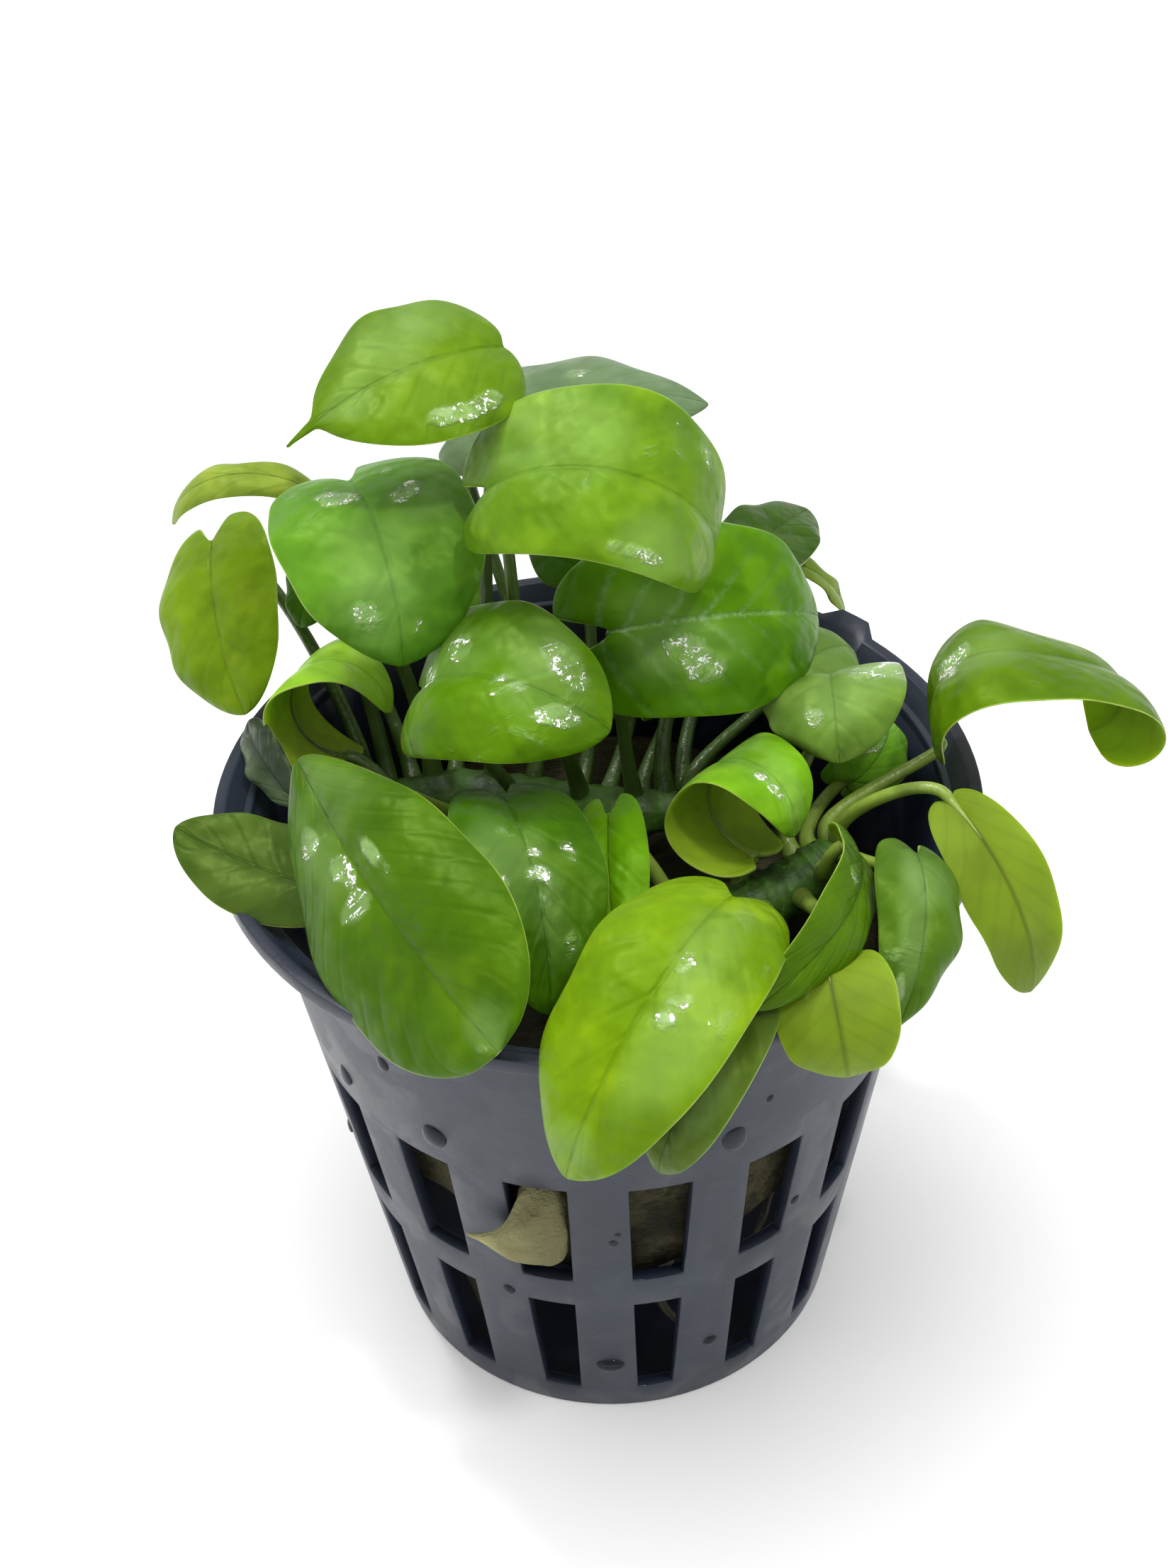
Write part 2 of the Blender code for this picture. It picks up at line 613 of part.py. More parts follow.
def main():
    clear_scene()
    pot_plastic = material("black_pot_plastic", (0.028, 0.032, 0.045), 0.38)
    wool = material("stone_wool", (0.42, 0.36, 0.14), 0.95)
    stem = material("rhizome_skin", (0.16, 0.22, 0.05), 0.6)
    root_skin = material("root_skin", (0.2, 0.13, 0.07), 0.7)
    green = material("leaf_green", (0.12, 0.36, 0.02), 0.25)
    make_net_pot(pot_plastic)
    wool_surface = make_wool_plug(wool)
    for rhizome in RHIZOMES.values():
        make_rhizome(rhizome, stem)
    for root in ROOTS:
        make_root(root, wool_surface, root_skin)
    for leaf in LEAVES:
        make_leaf(leaf, green)


main()
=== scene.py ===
"""Potted anubias: the finished surfaces of a small live plant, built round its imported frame.

Z is up and -Y is the front. The tables are in millimetres, and MM turns them into Blender's metres. Each
leaf is one piece: a thin curved blade, its stalk and the midrib that runs on under the blade.
"""

import cmath
import math
from dataclasses import dataclass

import bmesh
import bpy
from bpy.props import EnumProperty, FloatProperty, FloatVectorProperty, PointerProperty
from mathutils import Matrix, Vector, noise


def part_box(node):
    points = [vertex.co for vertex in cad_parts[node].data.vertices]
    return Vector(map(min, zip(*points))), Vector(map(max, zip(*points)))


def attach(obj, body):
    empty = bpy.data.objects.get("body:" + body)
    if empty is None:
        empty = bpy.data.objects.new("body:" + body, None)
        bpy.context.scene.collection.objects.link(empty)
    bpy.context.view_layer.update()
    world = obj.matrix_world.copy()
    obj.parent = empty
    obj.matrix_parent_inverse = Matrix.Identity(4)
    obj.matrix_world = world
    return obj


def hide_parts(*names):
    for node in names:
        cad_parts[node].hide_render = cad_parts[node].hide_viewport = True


bl_info = {
    "name": "Potted anubias",
    "version": (1, 0, 0),
    "blender": (4, 5, 0),
    "location": "3D View > Sidebar > Plant",
    "description": "Builds a small anubias in a slotted net pot, leaf by leaf, with a plain studio",
    "category": "Add Mesh",
}

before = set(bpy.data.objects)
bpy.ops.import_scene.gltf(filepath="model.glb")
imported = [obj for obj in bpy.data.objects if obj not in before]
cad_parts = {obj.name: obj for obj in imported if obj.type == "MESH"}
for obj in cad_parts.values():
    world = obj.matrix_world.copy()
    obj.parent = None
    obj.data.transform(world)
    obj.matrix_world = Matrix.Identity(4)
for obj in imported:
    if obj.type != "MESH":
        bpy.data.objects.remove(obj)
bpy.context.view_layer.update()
MM = 0.001
BODY = "root"
NOISE_SEED = 7  # without it, the vector noise would differ from run to run
GROUPS = ("crown", "left", "front", "right", "rear")
PALE_STALK_GROUPS = ("right", "front")  # whose stalks are pale; the others get a darker stalk colour as painted shade
POT_LOW, POT_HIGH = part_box("net_pot")

# The plant's tables ---------------------------------------------------------------------------------------


@dataclass
class Leaf:
    """One leaf. Places are in millimetres, angles in degrees."""

    name: str
    group: str
    tone: tuple  # colour of the upper side where it is fullest, holding painted shade and light matched leaf by leaf
    rhizome: str
    along: float  # place on the rhizome, from 0 at its old end to 1 at its growing tip
    roll: float  # how far round the stem from its top, towards the front
    base: tuple  # where the blade meets the stalk
    tip: tuple
    face: tuple  # the way the upper side looks
    width: float
    bow: float = 2.5  # height of the midrib's arch over the line from base to tip, towards the face
    droop: tuple = (35, 35)  # how far each half curls down to its edge, left and right seen from the base
    vee: float = 12.0  # how far both halves rise beside the midrib
    twist: float = 0.0  # turn of the blade about its midrib, from base to tip
    lobes: float = 2.0  # how far the base lobes reach behind the stalk
    point: float = 0.62  # how pointed the blade is: less is blunter
    drip: float = 0.0  # share of its length that is a narrow drip tip
    heel: float = 0.42  # how pointed the blade's base is: less is blunter
    curl: tuple = ()  # in place of bow, the midrib's slope at even steps along it, downwards positive
    wave: float = 0.25  # height of the ripples along its edge
    film: float = 0.5  # how readily a film of water and its drops lie on it
    veined: float = 0.0  # how pale its veins stand out
    under: float = 1.0  # how much paler its lower side is, where light shows through the blade
    glints: tuple = ()  # where drops gather, with painted glints: (across, share) of the blade, and millimetres across and along
    sheens: tuple = ()  # where a painted sheen lies, the soft pale reflection of the surround, in the same way
    stalk: tuple = ()  # a point that the stalk heads for, where it has to bend round a neighbour

    @property
    def length(self):
        return (Vector(self.tip) - Vector(self.base)).length


@dataclass
class Rhizome:
    """A creeping stem. Its path runs from the old end to the growing tip, in millimetres."""

    name: str
    path: tuple
    radii: tuple


RHIZOMES = {
    "left": Rhizome(
        "rhizome_left",
        ((-17, 7, 42.0), (-11, 8, 42.0), (-4, 6, 42.2), (2, 4, 42.8), (7, 3.5, 44.0)),
        (1.7, 2.3, 2.4, 2.2, 1.2),
    ),
    "right": Rhizome(
        "rhizome_right",
        ((2, -6, 41.8), (7, -7, 42.0), (12, -6, 42.8), (15.5, -4.5, 44.0), (17.5, -3.2, 45.3)),
        (1.6, 2.2, 2.3, 2.1, 1.2),
    ),
}

LEAVES = (
    Leaf("crown_left", "crown", (0.109, 0.215, 0.0047), "left", 0.36, -20, (-5, 12.2, 77.7),
         (-19.6, 5.8, 74.4), (0, -0.42, 0.9), 11.9, bow=2.3, droop=(40, 38), lobes=0.5,
         point=0.74, drip=0.15, stalk=(-9, 14.5, 60), film=0.25, glints=((-0.74, 0.24, 1.5, 5),
         (-0.74, 0.42, 1.3, 2)), sheens=((0.4, 0.47, 6, 6), (0.65, 0.25, 5, 4), (-0.05, 0.72, 5, 4))),
    Leaf("crown_centre", "crown", (0.132, 0.268, 0.00778), "left", 0.62, 5, (-6.5, 4, 71.5), (8.3, 5.2, 64),
         (0.5, -0.42, 0.75), 13, bow=6.8, droop=(10, 50), lobes=3, point=0.48, stalk=(-8, 3, 60), film=0.35,
         glints=((0.8, 0.55, 1.2, 6), (-0.7, 0.63, 3.6, 3.6), (-0.1, 0.12, 3, 3)),
         sheens=((-0.5, 0.28, 9, 6), (-0.5, 0.1, 5, 5), (0.7, 0.58, 5, 4))),
    Leaf("left_heart", "crown", (0.102, 0.262, 0.015), "left", 0.2, -20, (-16.5, 11, 68.5), (-13, 0.5, 60),
         (0.3, -0.6, 0.73), 14.7, bow=3.8, droop=(20, 55), lobes=4, film=0.6,
         glints=((0.25, 0.22, 3.4, 1.4), (-0.4, 0.28, 3.8, 1.6), (0.4, 0.76, 3.2, 2), (-0.15, 0.8, 3.4, 2)),
         sheens=((-0.1, 0.5, 9, 6), (0.3, 0.75, 7, 5), (-0.65, 0.3, 6, 4))),
    Leaf("centre_dome", "crown", (0.0891, 0.206, 0.002), "left", 0.5, 50, (-11.8, 0.2, 58), (1, -6, 58.5),
         (-0.1, -0.38, 0.92), 12.4, bow=3.9, droop=(20, 50), lobes=3, film=0.9, glints=((-0.1, 0.1, 3, 2.6),
         (-0.35, 0.28, 3, 2), (0.1, 0.55, 3.4, 2.6), (0.25, 0.77, 2.4, 3), (-0.5, 0.73, 3.6, 3.6)),
         sheens=((-0.4, 0.27, 6, 5), (-0.6, 0.6, 5, 5), (-0.1, 0.72, 6, 5))),
    Leaf("right_round", "crown", (0.0815, 0.226, 0.0016), "left", 0.8, -10, (1.4, 4.1, 59.5),
         (16.7, 9.9, 56), (0.39, -0.66, 0.64), 14, bow=4.2, droop=(30, 38), lobes=4.5, film=0.4, veined=1.0,
         glints=((0.12, 0.22, 2.4, 2.6), (0.32, 0.29, 2.4, 2.6), (0.5, 0.37, 2.4, 2.6),
         (0.88, 0.36, 1.2, 4)), sheens=((0, 0.2, 7, 5), (0.35, 0.3, 5, 7))),
    # Its greyish tone is painted reflection of the bright surround, on a leaf seen at a low angle
    Leaf("back_grey", "rear", (0.125, 0.194, 0.0904), "left", 0.45, -60, (-9, 20.5, 67), (9.5, 20.5, 68),
         (-0.05, 0, 1), 14, bow=2, droop=(35, 50), point=0.8, film=0.2, glints=((-0.3, 0.5, 2, 4),)),
    Leaf("left_curl", "left", (0.226, 0.309, 0.0333), "left", 0.08, -40, (-19.5, 16.5, 64), (-30.5, 17, 62),
         (-0.2, -0.3, 0.9), 3.5, bow=4, droop=(60, 60), stalk=(-17, 10.4, 57.2), film=0.1),
    Leaf("left_hanging", "left", (0.154, 0.259, 0.00514), "left", 0.0, -60, (-28.5, 20, 58.5), (-26, 9, 50),
         (-0.45, -0.6, 0.66), 11.5, bow=1.5, droop=(30, 40), stalk=(-23, 17, 56), film=0.15),
    Leaf("left_under", "left", (0.072, 0.172, 0.012), "left", 0.15, -70, (-19.2, 19.5, 56.5),
         (-22, 15.5, 53.3), (-0.2, -0.57, 0.8), 5, bow=1.5, droop=(38, 40), film=0.2),
    Leaf("left_roll", "left", (0.306, 0.594, 0.024), "left", 0.12, 60, (-18.8, 7, 46.9), (-15, 6.8, 51.2),
         (-0.64, 0.34, 0.69), 8.6, bow=6.9, droop=(10, 10), vee=5, lobes=1, film=0.3, under=1.8,
         sheens=((-0.7, 0.5, 4, 3),)),
    Leaf("left_narrow", "left", (0.0219, 0.0339, 0.0243), "left", 0.05, 75, (-21.2, -1.5, 49.7),
         (-25.6, 8, 50.1), (-0.75, 0.1, 0.65), 3.6, bow=1.2, lobes=0, heel=0.6, film=0.3,
         sheens=((-0.7, 0.35, 2, 9),)),
    Leaf("left_rim", "left", (0.0462, 0.0872, 0.00984), "left", 0.28, 75, (-18.5, -12, 51),
         (-29.1, -6.2, 52), (-0.1, -0.28, 0.95), 7.6, bow=-1, droop=(36, 15), film=0.2),
    Leaf("front_left", "front", (0.0558, 0.139, 0.0018), "left", 0.38, 70, (-19.8, -7.1, 58.1),
         (-6.7, -28.3, 51.5), (-0.58, -0.58, 0.57), 15, bow=1.4, droop=(65, 31), lobes=0, heel=0.8,
         point=0.5, film=0.5, glints=((0.42, 0.24, 2.8, 3.6), (0.15, 0.35, 2.2, 4.6), (0.22, 0.47, 3, 1.8),
         (-0.25, 0.42, 1.2, 5)), sheens=((-0.3, 0.17, 7, 8), (0.4, 0.27, 5, 8), (-0.2, 0.95, 6, 4))),
    Leaf("front_centre", "front", (0.0434, 0.126, 0.0012), "right", 0.02, 40, (-6.5, -7, 54),
         (-3.7, -21.4, 47.5), (0.3, -0.34, 0.89), 9.9, bow=2.9, droop=(13, 37), film=0.7,
         glints=((0.5, 0.55, 1.6, 4.6), (-0.05, 0.53, 2.2, 6.5), (-0.5, 0.4, 1.6, 2), (-0.4, 0.76, 1.6, 3)),
         sheens=((0.45, 0.43, 4, 7), (-0.05, 0.53, 3, 9))),
    Leaf("front_inner", "front", (0.105, 0.271, 0.00064), "right", 0.15, 0, (0.7, -5.7, 51),
         (0.9, -16.6, 46.5), (-0.25, -0.37, 0.89), 5.8, bow=1.1, droop=(27, 35), film=0.3),
    Leaf("front_bright", "front", (0.158, 0.286, 0.00216), "right", 0.45, 60, (8.3, -18.4, 54.4),
         (-3, -31.4, 43.5), (-0.16, -0.55, 0.82), 12, bow=5.8, droop=(34, 54), film=0.35,
         glints=((-0.08, 0.31, 1.6, 3.6), (-0.25, 0.4, 2, 3.8)), sheens=((-0.5, 0.5, 5, 10),
         (-0.2, 0.22, 4, 6), (0.05, 0.9, 6, 4))),
    Leaf("front_under", "front", (0.0836, 0.14, 0.0152), "right", 0.3, 75, (8.3, -25.1, 51),
         (2.8, -30.5, 42.6), (-0.38, -0.67, 0.64), 6.4, bow=2.6, droop=(25, 36), film=0.2,
         glints=((0.05, 0.45, 1.6, 3),), sheens=((-0.3, 0.5, 3, 5),)),
    Leaf("right_arch", "right", (0.183, 0.422, 0.01), "right", 0.42, -30, (11, -5.6, 46.4),
         (13.4, -7.2, 49.6), (-0.38, 0.46, 0.79), 9.5, bow=7, droop=(10, 10), vee=5, lobes=1, film=0.3,
         under=1.9, glints=((0.25, 0.9, 2, 2.4),), sheens=((-0.1, 0.85, 4, 4),)),
    Leaf("right_heart", "right", (0.133, 0.243, 0.0323), "right", 0.7, -58, (17.2, 5, 54.1),
         (17.1, -2.3, 52), (-0.16, -0.28, 0.95), 10.8, bow=2.4, droop=(24, 58), film=0.8,
         glints=((-0.45, 0.37, 3.4, 2.4), (-0.9, 0.3, 2.4, 2.4), (0.3, 0.6, 2, 2)),
         sheens=((-0.1, 0.5, 6, 4), (-0.9, 0.3, 5, 3))),
    Leaf("right_inner", "right", (0.2, 0.476, 0.028), "right", 0.82, -65, (18.6, 2.6, 46), (21.6, 6.4, 49),
         (0.23, -0.87, 0.43), 5.4, bow=2.2, droop=(50, 32), film=0.8, glints=((-0.3, 0.6, 2, 2.4),)),
    Leaf("far_right", "right", (0.0975, 0.193, 0.00192), "right", 0.95, -40, (24.5, 1, 51), (35.4, 1, 51.2),
         (0.08, -0.1, 0.98), 12.4, droop=(44, 30), twist=28, lobes=0, heel=0.42, point=0.34,
         curl=(-98, -90, -42, 14, 20, 30, 98, 165), film=0.3, under=1.15, glints=((0.05, 0.3, 3.6, 1.8),),
         sheens=((0, 0.35, 5, 3),)),
    Leaf("right_hanging", "right", (0.126, 0.201, 0.00808), "right", 1.0, 0, (23.8, -8.4, 53.1),
         (29.2, -14.6, 41), (-0.35, 0.8, -0.5), 6.6, bow=-3.3, droop=(15, 25), lobes=0.6, heel=0.46,
         film=0.3),
    Leaf("right_folded", "right", (0.0695, 0.154, 0.00888), "right", 0.9, 40, (20.9, -12.6, 52.3),
         (18.6, -21.9, 45.6), (0.3, -0.6, 0.75), 6.8, bow=2.8, droop=(60, 50), point=0.85, film=0.7,
         glints=((-0.5, 0.16, 2, 2), (0.45, 0.8, 1.4, 2)), sheens=((0.25, 0.5, 2.2, 10),
         (-0.1, 0.2, 4, 4))),
    Leaf("right_sweep", "right", (0.0621, 0.142, 0.00128), "right", 0.75, 50, (16.8, -9, 50.3),
         (8.9, -26, 52), (0.72, -0.4, 0.57), 4.9, bow=3.8, droop=(30, 30), film=0.5,
         glints=((0.35, 0.38, 1.6, 2.6),)),
    Leaf("right_pale", "right", (0.126, 0.207, 0.0102), "right", 0.6, 70, (14, -21.5, 51),
         (15, -25.9, 45.6), (0.05, 0.85, -0.53), 8, bow=-3, droop=(5, 25), film=0.2),
    Leaf("back_right", "rear", (0.0302, 0.0816, 0.00128), "left", 0.9, -30, (10.8, 13, 58.8),
         (17.6, 24.3, 56.2), (0.42, -0.05, 0.91), 7, bow=0.6, droop=(36, 21), film=0.2),
    Leaf("back_sliver", "rear", (0.167, 0.257, 0.0256), "left", 0.97, -60, (17.3, 21, 53), (20.5, 22, 46.5),
         (0.5, -0.2, 0.8), 2.5, bow=1, film=0.1),
    Leaf("right_low", "rear", (0.111, 0.203, 0.0352), "left", 1.0, 0, (14, 10, 50), (20, 14, 50),
         (0.1, -0.3, 0.95), 8, bow=1.5, film=0.2),
    Leaf("rear_left", "rear", (0.0662, 0.147, 0.00614), "left", 0.25, -80, (-11, 17, 53), (-16, 29, 51),
         (-0.1, 0.25, 0.97), 10, bow=2, film=0.3, glints=((0.3, 0.4, 2.6, 3),), sheens=((0.2, 0.5, 6, 6),)),
    Leaf("rear_centre", "rear", (0.0282, 0.0903, 0.00352), "left", 0.58, -80, (0, 18, 56), (3, 31, 51),
         (0, 0.35, 0.94), 11, bow=2.5, film=0.3, glints=((-0.3, 0.5, 2.6, 4),),
         sheens=((-0.2, 0.4, 6, 7),)),
    Leaf("rear_right", "rear", (0.0331, 0.125, 0.00192), "left", 0.8, -80, (8.5, 14, 53),
         (13.5, 25.5, 50.5), (0.1, 0.3, 0.95), 9.5, bow=2, film=0.3, glints=((0.2, 0.5, 2.4, 3),),
         sheens=((0.1, 0.5, 5, 6),)),
    Leaf("rear_low", "rear", (0.0861, 0.174, 0.00614), "left", 0.68, -70, (3.2, 12.2, 47.8),
         (4.5, 19.5, 46.8), (0, 0.2, 0.98), 6, bow=1.5, film=0.2),
)

# Colours on a blade besides its own: painted glare, sheen and glints of water, and pale veins
FILM_GLARE_COLOUR = (0.32, 0.50, 0.17)  # painted glare on the water film that lies in patches
SHEEN_COLOUR = (0.30, 0.46, 0.17)  # painted sheen: the soft pale reflection of the surround
DROP_GLINT_COLOUR = (0.94, 0.97, 0.90)  # painted glints of the tiny drops
PALE_VEIN_AND_GLINT_COLOUR = (0.36, 0.50, 0.28)  # of the pale veins, with painted glints of the fine drops along them
VEIN_SPACING = 2.4

ROOTS = (
    ("root_front", (4, -9), ((6, -11, 14), (3, -13.5, 8), (7, -14.3, 3))),
    ("root_front_left", (-6, -6), ((-9, -8, 13), (-12, -9, 8), (-10, -12.5, 2.5))),
    ("root_right", (9, 3), ((12, 4, 13), (14, 0, 7), (11, -6, 2.5))),
    ("root_back", (-4, 8), ((-5, 12, 13), (-9, 12.5, 7), (-3, 14, 2.4))),
    ("root_centre", (0, 0), ((1, 2, 12), (-3, -2, 7), (2, -4, 2.3))),
)
ROOT_RADII = (0.55, 0.5, 0.42, 0.25)
ROOT_STEPS = 40
ROOT_BITE = 1.2  # how far a root goes on up into the wool
RHIZOME_STEPS = 64
SCARS = 13  # rings that old leaves left on a rhizome

# Net pot, as in the CAD part
POT_HEIGHT = POT_HIGH.z / MM
POT_BASE_RADIUS = 18.3
POT_TOP_RADIUS = 25.0
LIP_RADIUS = 27.5
LIP_HEIGHT = 1.2
LIP_LAND = 0.9
POT_WALL = 1.1
SLOT_COLUMNS = 16
SLOT_TURN = math.radians(-3.0)
SLOT_ROWS = ((2.7, 15.6), (19.1, 31.2))
SLOT_WIDTH_LOW = 2.6
SLOT_WIDTH_RISE = 0.062  # how much wider a slot is for each millimetre up
FLOOR_RING = 10.0
STEPS_PER_COLUMN = 8
SLOT_STEPS = 4  # of those, how many span the slot
WALL_LEVELS = (2.7, 6, 9.2, 12.4, 15.6, 17.3, 19.1, 22.1, 25.2, 28.2, 31.2, 35, 39, 43, 46)
LIP_TAB_COLUMN = 5
LIP_TAB_REACH = 0.9
LIP_TAB_RISE = 0.5
POT_TAPER = (POT_TOP_RADIUS - POT_BASE_RADIUS) / (POT_HEIGHT - LIP_HEIGHT)
SHARP_EDGE = math.radians(38)
INSIDE_SHADE_COLOUR = (0.008, 0.011, 0.024)  # painted shade on the plastic inside the pot and, half as strong, on top of its lip

# Beads of water on its wall: degrees round from the front, height, width and length
WALL_DROPS = (
    (86, 24.5, 2.2, 2.8), (87.5, 27.6, 1.0, 1.3), (-70.5, 22, 1.0, 1.4), (-32.1, 34.5, 2, 2.4),
    (21.1, 35.3, 1.9, 2.6), (-0.6, 24.6, 0.7, 0.9), (0.3, 25.7, 0.5, 0.5), (21.2, 7.7, 1.2, 1.1),
    (-2.4, 6.6, 2.2, 1.5), (-23.4, 16.2, 1, 1.2), (-39.7, 40.7, 1, 1.6), (-54.3, 34.5, 1.4, 2.2),
    (38.4, 22.6, 0.9, 0.9), (27.1, 38.4, 0.6, 0.8), (109.5, 30, 1.2, 1.8), (154.5, 22, 1.6, 2),
    (175, 38, 1, 1.5), (205, 17.3, 1.1, 1.2), (232, 36, 1.5, 2.2), (255, 40, 1, 1.6), (97, 35, 1.2, 1.9),
)
DROP_RISE = 0.2  # how far a bead stands out, as a share of its width

WOOL_BOTTOM = 20.5
WOOL_TOP = 38.5
WOOL_CLEARANCE = 0.6
WOOL_SAG = 4.5  # how far its lower edge hangs down at the front
WOOL_STEPS = 72
WOOL_TORN = (2.6, 1.2)  # depth of the torn hollows in its lower and upper face
WOOL_TILT = 2.0  # how much higher its lower edge is at the left
WOOL_ROUGHNESS = 0.35
TUFT_COLUMN = -1
TUFT_SIDES = 18
# Rings along the tuft: distance out from the wall, sideways shift, half width, how far its bottom is over
# the slot's lower edge and its top under the upper edge, and its turn to the left in degrees
TUFT_RINGS = (
    (-5.0, 0.1, 1.6, 1.2, 1.1, 0),
    (-1.6, 0.1, 1.8, 1.3, 0.5, 0),
    (-0.6, 0.1, 1.85, 1.9, 0.5, 5),
    (0.1, 0.05, 1.75, 2.8, 0.9, 12),
    (0.6, -0.5, 1.45, 3.3, 1.7, 28),
    (0.9, -1.2, 1.0, 3.6, 2.8, 48),
    (1.05, -2.1, 0.65, 4.3, 4.2, 68),
    (1.05, -3.1, 0.42, 5.1, 5.2, 82),
    (0.95, -4.2, 0.24, 5.7, 5.9, 87),
    (0.85, -5.4, 0.1, 6.0, 6.05, 90),
)
TUFT_SHADE_FADE = (-8.6 * MM, -5.0 * MM)  # where painted shade darkens it, from left to right

BLADE_STEPS = (22, 36)  # squares across and along a blade
MIDRIB_STEPS = 48
RIB_STEPS = 14  # rings of the raised midrib under a blade
RIB_END = 0.86
STALK_SIDES = 8
STALK_STEPS = 18
GROOVE_WIDTH = 0.45  # of the groove over the midrib
GROOVE_DEPTH = 0.14
TIP_HALF_WIDTH = 0.03
UNDER, EDGE, STALK = 1, 2, 3  # materials of a leaf, after that of its upper side

# Stage, in metres and degrees
FLOOR_RADIUS = 4.0
LIGHT_TARGET = (0, 0, 0.045)
SOFTBOXES = (  # name, place, side, and the setting and share that give its power
    ("key", (-0.06, 0.02, 0.60), 0.42, "key_power", 1.0),
    ("left_sparkle", (-0.16, 0.12, 0.50), 0.03, "key_power", 0.3),
    ("right_sparkle", (0.14, -0.16, 0.48), 0.03, "key_power", 0.25),
    ("left", (-0.62, -0.25, 0.28), 0.4, "fill_power", 1.0),
    ("right", (0.6, -0.2, 0.34), 0.35, "fill_power", 0.8),
)
CAMERA_TARGET = (-0.0006, 0, 0.0492)
CAMERA_DISTANCE = 0.150
CAMERA_RISE = 39.2
CAMERA_ROLL = -2.5
LENS = 47.91  # focal length and the sensor's width, in millimetres
SENSOR_WIDTH = 36.0


# Settings -------------------------------------------------------------------------------------------------


def colour_setting(name, description, default):
    return FloatVectorProperty(
        name=name, description=description, default=default, size=3, min=0, max=1, subtype="COLOR"
    )


class PotSettings(bpy.types.PropertyGroup):
    edge: FloatProperty(
        name="Edge rounding", description="Of the moulded edges", default=0.16 * MM, min=0, unit="LENGTH"
    )
    colour: colour_setting("Plastic", "Colour of the pot's plastic", (0.020, 0.027, 0.044))
    roughness: FloatProperty(name="Roughness", description="Of the dry plastic", default=0.42, min=0, max=1)


class WoolSettings(bpy.types.PropertyGroup):
    colour: colour_setting("Wool", "Colour of the wet wool plug", (0.062, 0.056, 0.028))
    tuft_colour: colour_setting("Tuft", "Colour of the paler tuft in one slot", (0.44, 0.415, 0.20))


class StemSettings(bpy.types.PropertyGroup):
    rhizome_colour: colour_setting("Rhizome", "Colour of the creeping stems", (0.055, 0.14, 0.010))
    root_colour: colour_setting("Root", "Colour of the roots", (0.07, 0.06, 0.035))


class LeafSettings(bpy.types.PropertyGroup):
    thickness: FloatProperty(
        name="Thickness", description="Of a blade", default=0.45 * MM, min=0.1 * MM, unit="LENGTH"
    )
    stalk_radius: FloatProperty(
        name="Stalk radius", description="At its foot", default=0.62 * MM, min=0.1 * MM, unit="LENGTH"
    )
    underside: colour_setting("Underside", "Colour of the blades' matt lower side", (0.165, 0.25, 0.012))
    stalk_colour: colour_setting("Stalk", "Colour of the stalks and of a blade's edge", (0.25, 0.36, 0.05))
    # Painted shade: a darker copy of the stalk colour, for the leaves that lie in shade
    shaded_stalk_colour: colour_setting("Shaded stalk", "Colour of the darker stalks in painted shade", (0.07, 0.13, 0.02))


class StageSettings(bpy.types.PropertyGroup):
    floor_colour: colour_setting("Floor", "Colour of the floor", (0.95, 0.95, 0.95))
    key_power: FloatProperty(name="Key light", description="Power of the main softbox", default=2.1, min=0)
    fill_power: FloatProperty(name="Fill light", description="Power of the side lights", default=0.4, min=0)
    surround: FloatProperty(name="Surround", description="Strength of the even light", default=0.7, min=0)


# Shader graphs --------------------------------------------------------------------------------------------


def operation(name):
    """A method that adds the Math node of this name."""
    return lambda self, *others: self.maths(name, self, *others)


class Value:
    """A shader socket that Python's arithmetic works on. Each operation adds its Math node."""

    def __init__(self, graph, socket):
        self.graph = graph
        self.socket = socket

    def maths(self, name, *values):
        return self.graph.node("Math", {"operation": name}, dict(enumerate(values)))

    __add__ = __radd__ = operation("ADD")
    __sub__ = operation("SUBTRACT")
    __mul__ = __rmul__ = operation("MULTIPLY")
    __truediv__ = operation("DIVIDE")
    __pow__ = operation("POWER")
    __abs__ = operation("ABSOLUTE")

    def __rsub__(self, other):
        return self.maths("SUBTRACT", other, self)

    def step(self, low, high, to_low=0.0, to_high=1.0):
        """Eases from to_low to to_high as this goes from low to high."""
        settings = {"interpolation_type": "SMOOTHSTEP"}
        inputs = {"Value": self, 1: low, 2: high, 3: to_low, 4: to_high}
        return self.graph.node("MapRange", settings, inputs)


